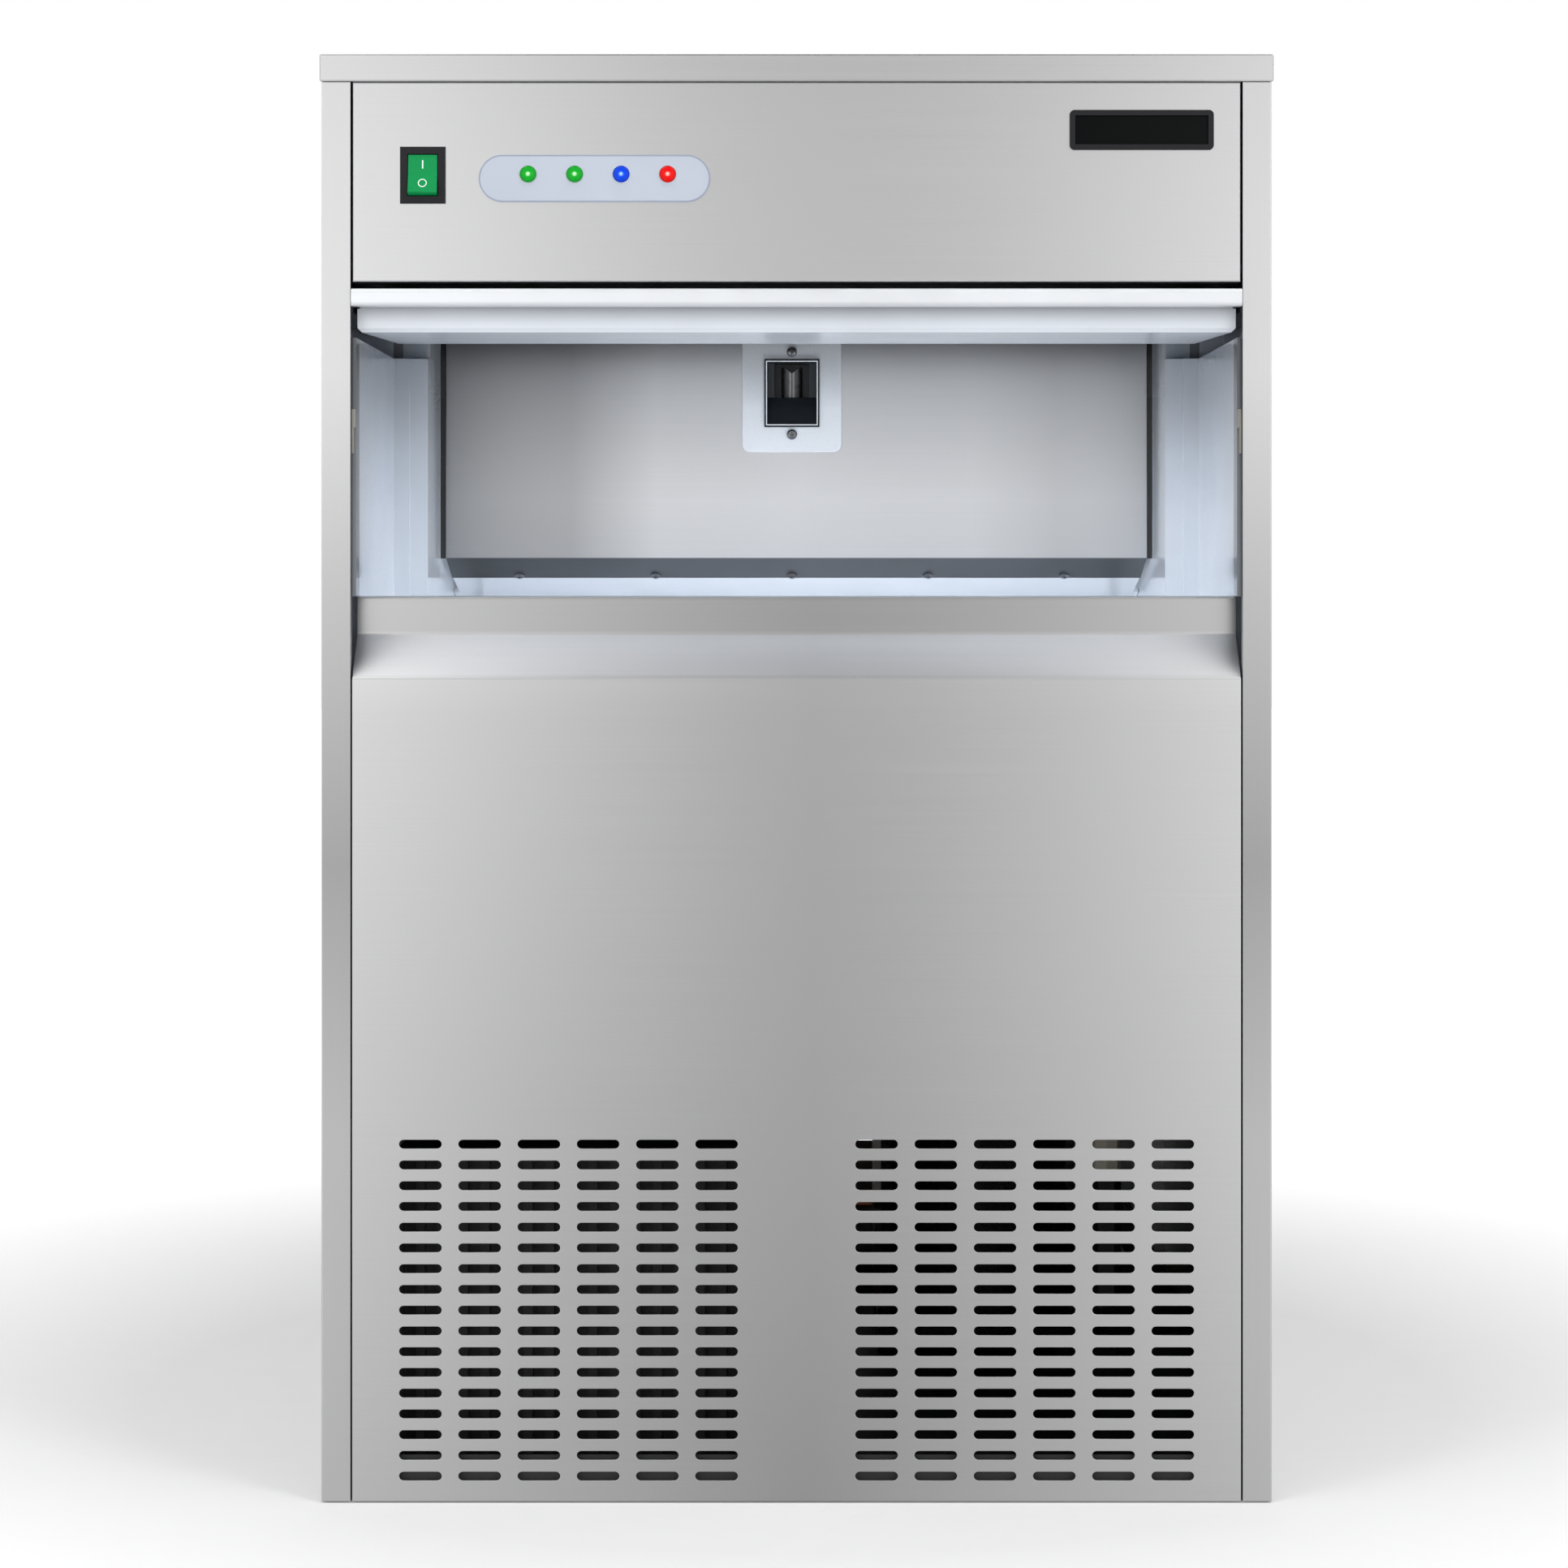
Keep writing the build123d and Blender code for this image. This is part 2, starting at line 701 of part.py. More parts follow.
def make_insulation():
    """Foam between the liner and the panels, with the liner's outside cut out of it."""
    half = half_body - sheet
    front = bin_front_y - liner_wall
    rear = rear_y - 2 * sheet - seat_gap
    foam = block((-half, half), (front, rear), (foam_floor_z, wall_top_z))
    front_half = panel_half - sheet - seat_gap
    front_z = (foam_floor_z, slope_bottom_z - flange)
    foam += block((-front_half, front_half), (front_y + sheet, front), front_z)
    upper_z = (wall_top_z, compartment_top_z + liner_wall)
    foam += block((-half, half), (upper_front_y, rear), upper_z)
    outer_tub = mirrored_plan([(mouth_half + liner_wall, front)] + liner_plan(liner_wall))
    foam -= prism_z(outer_tub, bin_floor_z - liner_wall, wall_top_z)
    side = (-rear_half - liner_wall, rear_half + liner_wall)
    foam -= block(side, (upper_front_y, bin_rear_y + liner_wall), upper_z)
    foam -= rod((drain_x, drain_y, 0), (drain_x, drain_y, bin_floor_z), drain_flange_radius)
    foam -= pipe_chase()
    save("insulation_foam", foam)


def pipe_chase():
    """The slot in the rear foam where the refrigerant lines run up to the evaporator."""
    return block((chase_x[0], chase_x[1]), (bin_rear_y + liner_wall, rear_y), (foam_floor_z, chase_top_z))


def flange_end():
    """The rear edge of the underside of the baffle's flange, as (y, z)."""
    return (baffle_y + baffle_run, baffle_bend_z - baffle_drop)


def make_baffle():
    outline = [(baffle_y, compartment_top_z - seat_gap), (baffle_y, baffle_bend_z), flange_end()]
    baffle = prism_x(folded(outline, baffle_sheet), -baffle_half, baffle_half)
    opening = sensor_box(sensor_housing_half + hole_play, -hole_play, 2 * baffle_sheet, hole_play)
    save("ice_baffle", baffle - opening)

    slope = math.atan2(baffle_drop, baffle_run)
    reach = math.hypot(baffle_run, baffle_drop) - baffle_screw_inset
    seat_y = baffle_y + reach * math.cos(slope)
    seat_z = baffle_bend_z - reach * math.sin(slope)
    down = (0, -math.sin(slope), -math.cos(slope))
    screws = []
    for number in range(-2, 3):
        place = (number * baffle_screw_pitch + sensor_x, seat_y, seat_z)
        screws.append(Plane(origin=place, x_dir=(1, 0, 0), z_dir=down).location * pan_head())
    for z in (sensor_housing_top_z + sensor_screw_gap, sensor_housing_bottom_z - sensor_screw_gap):
        place = (sensor_x, baffle_y - sensor_plate_thickness, z)
        screws.append(Plane(origin=place, x_dir=(1, 0, 0), z_dir=(0, -1, 0)).location * pan_head())
    save("compartment_screws", *screws)


def pan_head():
    """A screw head that stands on its seat, with the few sides that its size needs."""
    head = extrude(RegularPolygon(screw_head_radius, screw_sides), amount=screw_head_height)
    return chamfer(head.faces().sort_by(Axis.Z)[-1].edges(), screw_head_height / 2)


def make_chute():
    """The moulded slide under the ice maker. The baffle's flange is screwed to its front edge from below."""
    end_y, end_z = flange_end()
    slope = math.atan2(baffle_drop, baffle_run)
    lift_y = baffle_sheet * math.sin(slope)
    lift_z = baffle_sheet * math.cos(slope)
    lap_y = chute_lap * math.cos(slope)
    lap_z = chute_lap * math.sin(slope)
    start = (end_y - lap_y + lift_y, end_z + lap_z + lift_z)
    middle = (end_y + lift_y, end_z + lift_z)
    finish = (end_y + chute_run, end_z - chute_drop)
    chute = prism_x(folded([start, middle, finish], chute_wall), -baffle_half, baffle_half)
    ear_start = (finish[0] - flange, finish[1] + flange * (middle[1] - finish[1]) / (finish[0] - middle[0]))
    ear_half = rear_half - seat_gap
    save("ice_chute", chute + prism_x(folded([ear_start, finish], chute_wall), -ear_half, ear_half))


def sensor_box(half, front, back, margin=0.0):
    """A box centred on the sensor, with its depths measured back from the baffle's face."""
    return block(
        (sensor_x - half, sensor_x + half),
        (baffle_y + front, baffle_y + back),
        (sensor_housing_bottom_z - margin, sensor_housing_top_z + margin),
    )


def make_sensor():
    plate = block(
        (sensor_x - sensor_plate_half, sensor_x + sensor_plate_half),
        (baffle_y - sensor_plate_thickness, baffle_y),
        (sensor_plate_bottom_z, sensor_plate_top_z),
    )
    corners = plate.faces().sort_by(Axis.Z)[0].edges().filter_by(Axis.Y)
    plate = fillet(corners, sensor_plate_corner)
    room = sensor_box(sensor_housing_half + hole_play, -2 * sensor_plate_thickness, sensor_wall, hole_play)
    save("sensor_bracket", plate - room)

    front = -sensor_plate_thickness - sensor_rim
    housing = sensor_box(sensor_housing_half, front, sensor_housing_depth)
    floor_z = sensor_housing_bottom_z + sensor_wall
    ceiling_z = sensor_housing_top_z - sensor_wall
    inner_half = sensor_housing_half - sensor_wall
    mouth_y = baffle_y + front
    step = mouth_y + sensor_slope_run
    profile = [(mouth_y, floor_z), (step, sensor_well_z), (step, ceiling_z), (mouth_y, ceiling_z)]
    housing -= prism_x(profile, sensor_x - inner_half, sensor_x + inner_half)
    well_back = baffle_y + sensor_housing_depth - sensor_wall
    well_x = (sensor_x - sensor_well_half, sensor_x + sensor_well_half)
    housing -= block(well_x, (step, well_back), (sensor_well_z, ceiling_z))
    save("sensor_housing", housing)

    stand = Pos(sensor_x, (step + well_back) / 2, sensor_well_z)
    bulb = extrude(RegularPolygon(sensor_bulb_radius, lamp_sides), amount=sensor_bulb_height)
    groove = [(0, 0), (-sensor_notch, sensor_notch), (sensor_notch, sensor_notch)]
    notch = prism_x(groove, -sensor_well_half, sensor_well_half)
    top_cut = Pos(0, 0, sensor_bulb_height - sensor_notch) * Rot(Z=90) * notch
    save("sensor_bulb", stand * (bulb - top_cut))


def make_guide_clips():
    """Small plastic guides on the front edge of the bin's side walls, which steady the sliding door."""
    wall_front = front_y + wall_front_depth
    clip_y = (wall_front - clip_depth, wall_front)
    clip = block((mouth_half + hole_play, mouth_half + clip_width), clip_y, (clip_z - clip_height, clip_z))
    tail = block((mouth_half + clip_width / 2, mouth_half + clip_width), clip_y, (clip_z - clip_tail, clip_z))
    save("guide_clips", *both_sides(clip + tail))


def evaporator_span():
    """The evaporator's half length along X, and its (front, rear) pair along Y."""
    half = cell_pitch * cell_columns / 2 + cell_edge
    deep = cell_pitch * cell_rows / 2 + cell_edge
    return half, (evaporator_y - deep, evaporator_y + deep)


def make_evaporator():
    half, span_y = evaporator_span()
    top_z = evaporator_bottom_z + evaporator_height
    plate = block((-half, half), span_y, (evaporator_bottom_z, top_z))
    underside = Pos(0, evaporator_y, evaporator_bottom_z)
    cells = underside * GridLocations(cell_pitch, cell_pitch, cell_columns, cell_rows)
    plate -= [extrude(cell * Rectangle(cell_size, cell_size), amount=cell_depth) for cell in cells]
    save("evaporator_plate", plate)

    near_y = span_y[0] + coil_inset
    far_y = span_y[1] - coil_inset
    coil_z = (top_z, top_z + coil_height)
    coil = Part()
    for number in range(coil_legs):
        x = coil_pitch * (number - (coil_legs - 1) / 2)
        leg_end = span_y[1] if number in (0, coil_legs - 1) else far_y
        coil += block((x - coil_width / 2, x + coil_width / 2), (near_y, leg_end), coil_z)
        if number < coil_legs - 1:
            link_y = near_y if number % 2 == 0 else far_y - coil_width
            coil += block((x, x + coil_pitch), (link_y, link_y + coil_width), coil_z)
    save("evaporator_coil", coil)

    strap_x = (half - hanger_width, half)
    strap_z = (top_z, compartment_top_z - seat_gap)
    strap = block(strap_x, (evaporator_y - hanger_width, evaporator_y + hanger_width), strap_z)
    save("evaporator_hangers", *both_sides(strap))


def tray_axis():
    """The tilting water tray's pivot axis, as (y, z)."""
    _, span_y = evaporator_span()
    return (span_y[1] + tray_axis_back, evaporator_bottom_z - tray_gap - tray_axis_drop)


def make_water_tray():
    half, span_y = evaporator_span()
    axis_y, axis_z = tray_axis()
    outer_half = half + tray_margin
    tray_y = (span_y[0] - tray_margin, span_y[1] + tray_margin)
    top_z = evaporator_bottom_z - tray_gap
    tray = block((-outer_half, outer_half), tray_y, (top_z - tray_depth, top_z))
    tray = chamfer(tray.faces().sort_by(Axis.Z)[0].edges(), tray_wall)
    inner_half = outer_half - tray_wall
    inner_y = (tray_y[0] + tray_wall, tray_y[1] - tray_wall)
    tray -= block((-inner_half, inner_half), inner_y, (top_z - tray_depth + tray_wall, top_z))
    ear_x = (outer_half, outer_half + ear_thickness)
    ear_y = (axis_y - ear_radius, axis_y + ear_radius)
    ear = block(ear_x, ear_y, (axis_z - ear_radius, axis_z + tray_axis_drop))
    for piece in both_sides(ear):
        tray += piece
    shaft_end = ear_x[1] + shaft_reach
    shaft_seat = Plane(origin=(ear_x[1], axis_y, axis_z), x_dir=(0, 1, 0), z_dir=(1, 0, 0))
    shaft = extrude(shaft_seat * RegularPolygon(shaft_radius, shaft_sides), amount=shaft_reach)
    for piece in both_sides(shaft):
        tray += piece
    save("water_tray", tray)

    bearing_x = (ear_x[1] + shaft_reach / 3, shaft_end)
    bracket_y = (axis_y - bracket_half, axis_y + bracket_half)
    bracket_top = axis_z + bracket_half
    bracket = block(bearing_x, bracket_y, (axis_z - bracket_half, bracket_top))
    bracket -= rod((0, axis_y, axis_z), (half_body, axis_y, axis_z), shaft_radius + shaft_play)
    bracket += block((shaft_end, rear_half - seat_gap), bracket_y, (axis_z + ear_radius, bracket_top))
    save("tray_bracket", bracket)

    motor_x = (-motor_back_x, -bearing_x[0])
    motor_y = (axis_y - tilt_motor_width / 2, axis_y + tilt_motor_width / 2)
    motor = block(motor_x, motor_y, (axis_z - tilt_motor_height / 2, axis_z + tilt_motor_height / 2))
    motor -= rod((-shaft_end - seat_gap, axis_y, axis_z), (0, axis_y, axis_z), shaft_radius + shaft_play)
    mount_y = (motor_y[0] + tilt_motor_lug, motor_y[1] - tilt_motor_lug)
    motor += block((seat_gap - rear_half, -motor_back_x), mount_y, (axis_z - ear_radius, axis_z + ear_radius))
    save("tilt_motor", motor)

    pump_x = -outer_half - pump_radius - seat_gap
    pump_seat = Pos(pump_x, pump_y, top_z - pump_height)
    save("water_pump", extrude(pump_seat * RegularPolygon(pump_radius, lamp_sides), amount=pump_height))


def make_condenser():
    """A finned block whose front shows its fins, with the return bends of its tubes at both ends."""
    low_x = condenser_x - condenser_width / 2
    high_x = condenser_x + condenser_width / 2
    back_y = condenser_y + condenser_depth
    groove_y = condenser_y + fin_groove_depth
    outline = [(high_x, back_y), (low_x, back_y)]
    for number in range(int(condenser_width / fin_pitch)):
        x = low_x + fin_pitch * number
        outline += [(x, condenser_y), (x + fin_width, condenser_y)]
        outline += [(x + fin_width, groove_y), (x + fin_pitch, groove_y)]
    condenser = prism_z(outline, base_sheet, base_sheet + condenser_height)
    bend = slot_shape(condenser_depth - fin_groove_depth, condenser_tube)
    middle_y = back_y - condenser_depth / 2 + fin_groove_depth / 2
    for number in range(condenser_rows):
        z = base_sheet + condenser_height * (number + 0.5) / condenser_rows
        for x, outward in ((low_x, -1), (high_x, 1)):
            seat = Plane(origin=(x, middle_y, z), x_dir=(0, 1, 0), z_dir=(outward, 0, 0))
            condenser += extrude(seat * bend, amount=condenser_tube)
    save("condenser", condenser)


def fan_centre():
    """Where the condenser fan's axis crosses its shroud's front, as (x, y, z)."""
    return (condenser_x, condenser_y + condenser_depth, base_sheet + condenser_height / 2)


def make_fan():
    x, y, z = fan_centre()
    half_x = condenser_width / 2
    half_z = condenser_height / 2
    back_y = y + shroud_depth
    shroud = block((x - half_x, x + half_x), (y, back_y), (z - half_z, z + half_z))
    shroud -= block(
        (x - half_x + shroud_sheet, x + half_x - shroud_sheet),
        (y, back_y - shroud_sheet),
        (z - half_z + shroud_sheet, z + half_z - shroud_sheet),
    )
    ring = RegularPolygon(fan_radius + fan_clearance, ring_sides, major_radius=False)
    rear = Plane(origin=(x, back_y, z), x_dir=(1, 0, 0), z_dir=(0, -1, 0))
    shroud -= extrude(rear * ring, amount=shroud_sheet)

    hub = extrude(RegularPolygon(fan_hub_radius, lamp_sides), amount=fan_hub_length)
    root = fan_hub_radius * 0.6
    outline = Polyline(
        (root, -fan_root),
        (fan_radius * 0.88, -fan_root),
        (fan_radius * 0.98, -fan_root / 3),
        (fan_radius * 0.97, fan_root),
        (fan_radius * 0.86, fan_tip),
        (root, fan_root),
        close=True,
    )
    blade = extrude(make_face(outline.edges()), amount=fan_blade_thickness / 2, both=True)
    blade = Pos(0, 0, fan_hub_length / 2) * Rot(X=fan_blade_angle) * blade
    rotor = hub
    for number in range(fan_blades):
        rotor += Rot(Z=360 / fan_blades * number) * blade
    rotor -= rod((0, 0, 0), (0, 0, fan_hub_length), fan_shaft_radius + shaft_play)
    seat = Plane(origin=(x, back_y - fan_hub_length / 2, z), x_dir=(1, 0, 0), z_dir=(0, 1, 0))
    save("fan_rotor", seat.location * rotor)

    motor_y = back_y + fan_hub_length / 2 + motor_gap
    motor_span = (motor_y, motor_y + motor_depth)
    half = motor_size / 2
    body = block((x - half, x + half), motor_span, (z - half, z + half))
    body += block((x - motor_size / 3, x + motor_size / 3), motor_span, (z - motor_size, z - half))
    shaft_seat = Plane(origin=(x, motor_y, z), x_dir=(1, 0, 0), z_dir=(0, 1, 0))
    shaft = RegularPolygon(fan_shaft_radius, screw_sides)
    save("fan_motor", body + extrude(shaft_seat * shaft, amount=-motor_gap - fan_hub_length))

    arm_z = (z - arm_width / 2, z + arm_width / 2)
    arm_y = (motor_y + motor_depth / 2, motor_y + motor_depth / 2 + shroud_sheet)
    for side in (-1, 1):
        near_x = x + side * motor_size / 2
        far_x = x + side * half_x
        shroud += block(sorted((near_x, far_x)), arm_y, arm_z)
        shroud += block(sorted((far_x - side * shroud_sheet, far_x)), (back_y, arm_y[1]), arm_z)
    save("fan_shroud", shroud)


def make_compressor():
    foot_z = base_sheet + compressor_lift
    shell_z = foot_z + compressor_foot
    middle = Pos(compressor_x, compressor_y, shell_z)
    shell = extrude(middle * RegularPolygon(compressor_radius, compressor_sides), amount=compressor_height)
    shell = chamfer(shell.faces().sort_by(Axis.Z)[-1].edges(), compressor_crown)
    shell = chamfer(shell.faces().sort_by(Axis.Z)[0].edges(), compressor_crown / 2)
    foot_half = compressor_radius * 0.96
    foot_x = (compressor_x - foot_half, compressor_x + foot_half)
    foot_y = (compressor_y - foot_half, compressor_y + foot_half)
    shell += block(foot_x, foot_y, (foot_z, shell_z))
    save("compressor", shell)

    reach = foot_half - grommet_radius
    grommets = []
    for dx in (-reach, reach):
        for dy in (-reach, reach):
            grommet = RegularPolygon(grommet_radius, screw_sides)
            seat = Pos(compressor_x + dx, compressor_y + dy, base_sheet)
            grommets.append(extrude(seat * grommet, amount=compressor_lift))
    save("compressor_grommets", *grommets)


def pipe(points, radius, bend):
    """A pipe drawn with six sides, whose route has each of its corners cut off by one short run."""
    route = [Vector(*points[0])]
    for before, corner, after in zip(points, points[1:], points[2:]):
        corner = Vector(*corner)
        route.append(corner + (Vector(*before) - corner).normalized() * bend)
        route.append(corner + (Vector(*after) - corner).normalized() * bend)
    route.append(Vector(*points[-1]))
    path = Polyline(*route)
    section = Plane(origin=path @ 0, z_dir=path % 0) * RegularPolygon(radius, pipe_sides)
    return sweep(section, path=path, transition=Transition.RIGHT)


def riser_y():
    """Y of the pipes that run up inside the rear foam."""
    return (bin_rear_y + liner_wall + rear_y) / 2


def coil_end():
    """Where the evaporator's coil ends, as (x, y, z) on the right-hand side."""
    _, span_y = evaporator_span()
    middle_z = evaporator_bottom_z + evaporator_height + coil_height / 2
    return (coil_pitch * (coil_legs - 1) / 2, span_y[1] + seat_gap, middle_z)


def make_refrigerant_lines():
    coil_x, coil_y, coil_z = coil_end()
    turn_y = (coil_y + bin_rear_y) / 2
    riser = riser_y()
    shell_z = base_sheet + compressor_lift + compressor_foot
    suction = [
        (-coil_x, coil_y, coil_z),
        (-coil_x, turn_y, coil_z),
        (suction_x, turn_y, coil_z),
        (suction_x, riser, coil_z),
        (suction_x, riser, shell_z + compressor_height / 2),
        (suction_x, compressor_y, shell_z + compressor_height / 2),
        (compressor_x - compressor_radius - seat_gap, compressor_y, shell_z + compressor_height / 2),
    ]
    save("suction_line", pipe(suction, suction_radius, pipe_bend / 2))

    bend_x = condenser_x + condenser_width / 2 + condenser_tube / 2
    bend_y = condenser_y + (condenser_depth + fin_groove_depth) / 2
    top_bend_z = base_sheet + condenser_height * (condenser_rows - 0.5) / condenser_rows + condenser_tube / 2
    over_z = shell_z + compressor_height + pipe_bend
    discharge = [
        (compressor_x, compressor_y, shell_z + compressor_height + seat_gap),
        (compressor_x, compressor_y, over_z),
        (bend_x, compressor_y, over_z),
        (bend_x, bend_y, over_z),
        (bend_x, bend_y, top_bend_z + seat_gap),
    ]
    save("discharge_line", pipe(discharge, liquid_radius, pipe_bend / 2))

    low_z = base_sheet + condenser_height / condenser_rows / 2
    first = [
        (bend_x + condenser_tube / 2 + seat_gap, bend_y, low_z),
        (liquid_x, bend_y, low_z),
        (liquid_x, drier_y, low_z),
    ]
    drier_end = drier_y + drier_length
    second = [
        (liquid_x, drier_end, low_z),
        (liquid_x, riser, low_z),
        (liquid_x, riser, coil_z),
        (liquid_x, turn_y, coil_z),
        (coil_x, turn_y, coil_z),
        (coil_x, coil_y, coil_z),
    ]
    save("liquid_line", pipe(first, liquid_radius, pipe_bend / 2), pipe(second, liquid_radius, pipe_bend / 2))
    seat = Plane(origin=(liquid_x, drier_y, low_z), x_dir=(1, 0, 0), z_dir=(0, 1, 0))
    drier = extrude(seat * RegularPolygon(drier_radius, screw_sides), amount=drier_length)
    ends = drier.faces().sort_by(Axis.Y)[0].edges() + drier.faces().sort_by(Axis.Y)[-1].edges()
    save("filter_drier", chamfer(ends, drier_radius / 2))


def wall_fitting(x, z, radius, inside, bore):
    """A fitting through the back panel, with a hexagon against the panel and a round spigot behind it."""
    seat = Plane(origin=(x, rear_y, z), x_dir=(1, 0, 0), z_dir=(0, 1, 0))
    fitting = extrude(seat * RegularPolygon(radius, screw_sides), amount=-inside)
    fitting += extrude(seat * RegularPolygon(radius + hex_extra, 6), amount=hex_thickness)
    fitting += rod((x, rear_y + hex_thickness, z), (x, half_depth, z), radius)
    return fitting - extrude(seat * RegularPolygon(bore, screw_sides), amount=connector_reach)


def make_water_supply():
    body_y = rear_y - fitting_inside
    valve = wall_fitting(inlet_x, inlet_z, inlet_thread_radius, fitting_inside, inlet_bore)
    valve_x = (inlet_x - valve_size / 2, inlet_x + valve_size / 2)
    valve_z = (inlet_z - valve_size / 2, inlet_z + valve_size / 2)
    valve += block(valve_x, (body_y - valve_size, body_y), valve_z)
    save("water_inlet_valve", valve)

    riser = body_y - valve_size / 2
    top_z = inlet_z + valve_size / 2 + seat_gap
    _, span_y = evaporator_span()
    spout_y = span_y[1] + water_radius * 1.5
    coil_z = coil_end()[2]
    route = [
        (inlet_x, riser, top_z),
        (inlet_x, riser, foam_floor_z - pipe_bend / 2),
        (water_x, riser_y(), foam_floor_z - pipe_bend / 2),
        (water_x, riser_y(), coil_z + pipe_bend / 2),
        (water_x, spout_y, coil_z + pipe_bend / 2),
        (water_x, spout_y, evaporator_bottom_z),
    ]
    save("water_line", pipe(route, water_radius, pipe_bend / 3))


def make_drain():
    stem_seat = Pos(drain_x, drain_y, spigot_bottom_z)
    stem = RegularPolygon(drain_spigot_radius, screw_sides)
    spigot = extrude(stem_seat * stem, amount=bin_floor_z - spigot_bottom_z)
    collar_seat = Pos(drain_x, drain_y, bin_floor_z - liner_wall - seat_gap - collar_height)
    spigot += extrude(collar_seat * RegularPolygon(collar_radius, screw_sides), amount=collar_height)
    save("drain_spigot", spigot)
    route = [
        (drain_x, drain_y, spigot_bottom_z),
        (drain_x, drain_y, drain_out_z),
        (drain_out_x, drain_y + hose_offset_y, drain_out_z),
        (drain_out_x, rear_y - fitting_inside, drain_out_z),
    ]
    save("drain_hose", pipe(route, drain_spigot_radius, hose_bend))
    fitting = wall_fitting(drain_out_x, drain_out_z, drain_spigot_radius, fitting_inside, drain_bore)
    save("drain_fitting", fitting)


def make_cable_gland():
    seat = Plane(origin=(gland_x, rear_y, gland_z), x_dir=(1, 0, 0), z_dir=(0, 1, 0))
    gland = extrude(seat * RegularPolygon(gland_radius, screw_sides), amount=-gland_inside)
    gland += extrude(seat * RegularPolygon(gland_radius + hex_extra, 6), amount=hex_thickness)
    gland += extrude(seat * RegularPolygon(gland_radius, screw_sides), amount=gland_outside)
    gland -= rod((gland_x, front_y, gland_z), (gland_x, half_depth, gland_z), gland_bore_radius)
    save("cable_gland", gland)


def make_control_bay():
    """The sheet above the parked door, and the box and circuit board that stand on it."""
    bay_back = upper_front_y - seat_gap
    bay_front = control_back_y + seat_gap
    outline = [
        (bay_front, roof_z + bay_lip),
        (bay_front, roof_z),
        (bay_back, roof_z),
        (bay_back, compartment_top_z),
    ]
    save("bay_roof", prism_x(folded(outline, sheet), sheet - half_body, half_body - sheet))

    box_z = (roof_z + sheet, roof_z + sheet + box_height)
    control = block(box_x, box_y, box_z)
    inner_x = (box_x[0] + sheet, box_x[1] - sheet)
    inner_y = (box_y[0] + sheet, box_y[1] - sheet)
    save("control_box", control - block(inner_x, inner_y, (box_z[0] + sheet, box_z[1])))
    board_z = box_z[0] + sheet + seat_gap
    board_x = (inner_x[0] + flange, inner_x[1] - flange)
    board_y = (inner_y[0] + flange, inner_y[1] - flange)
    board = block(board_x, board_y, (board_z, board_z + base_sheet))
    relay_y = (board_y[1] - relay_size, board_y[1])
    face_z = board_z + base_sheet
    for number in range(relay_count):
        x = board_x[0] + relay_pitch * number
        board += block((x, x + relay_size), relay_y, (face_z, face_z + relay_size))
    terminal_y = (board_y[0], board_y[0] + relay_size / 2)
    board += block(board_x, terminal_y, (face_z, face_z + relay_size / 2))
    save("circuit_board", board)


def make_back_screws():
    screws = []
    for x in (screw_inset - half_body, half_body - screw_inset):
        for number in range(3):
            z = screw_inset + (panel_top_z - 2 * screw_inset) * number / 2
            seat = Plane(origin=(x, rear_y, z), x_dir=(-1, 0, 0), z_dir=(0, 1, 0))
            screws.append(seat.location * pan_head())
    save("back_panel_screws", *screws)


make_top_cover()
make_side_panels()
make_back_panel()
make_base_pan()
make_lower_front_panel()
make_control_panel()
make_switch()
make_indicators()
make_display()
make_door()
make_door_tracks()
make_bin_liner()
make_insulation()
make_baffle()
make_chute()
make_sensor()
make_guide_clips()
make_evaporator()
make_water_tray()
make_condenser()
make_fan()
make_compressor()
make_refrigerant_lines()
make_water_supply()
make_drain()
make_cable_gland()
make_control_bay()
make_back_screws()
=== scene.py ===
import json
import math

import bmesh
import bpy
from mathutils import Matrix, Vector


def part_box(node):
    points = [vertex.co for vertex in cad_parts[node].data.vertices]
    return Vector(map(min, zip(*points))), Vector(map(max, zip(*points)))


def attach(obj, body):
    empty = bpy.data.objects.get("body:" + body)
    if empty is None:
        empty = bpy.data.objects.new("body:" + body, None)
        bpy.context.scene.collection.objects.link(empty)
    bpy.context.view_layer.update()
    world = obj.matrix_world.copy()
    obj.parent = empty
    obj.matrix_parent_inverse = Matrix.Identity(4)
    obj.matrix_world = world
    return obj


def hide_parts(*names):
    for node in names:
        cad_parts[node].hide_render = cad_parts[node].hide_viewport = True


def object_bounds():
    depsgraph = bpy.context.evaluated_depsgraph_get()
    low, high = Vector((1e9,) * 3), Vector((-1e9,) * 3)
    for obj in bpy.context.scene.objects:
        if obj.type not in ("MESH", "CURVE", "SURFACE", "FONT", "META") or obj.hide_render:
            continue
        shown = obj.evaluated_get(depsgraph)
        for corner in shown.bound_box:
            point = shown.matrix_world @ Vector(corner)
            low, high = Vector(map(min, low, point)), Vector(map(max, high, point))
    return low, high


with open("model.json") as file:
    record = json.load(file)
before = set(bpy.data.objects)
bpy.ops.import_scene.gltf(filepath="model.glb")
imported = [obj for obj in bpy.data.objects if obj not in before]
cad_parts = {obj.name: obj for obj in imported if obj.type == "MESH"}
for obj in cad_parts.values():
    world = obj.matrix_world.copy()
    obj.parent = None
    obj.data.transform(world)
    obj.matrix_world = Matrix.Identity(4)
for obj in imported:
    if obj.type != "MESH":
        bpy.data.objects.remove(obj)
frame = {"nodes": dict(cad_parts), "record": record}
cad_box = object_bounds()

# Lengths are in metres, in the frame's own axes: the front faces -Y and +Z is up.
# A list of stops gives pairs of a place from 0 to 1 and a grey or a colour there.
MM = 0.001
MERGE = 0.01 * MM
SAME_POINT = 0.001 * MM

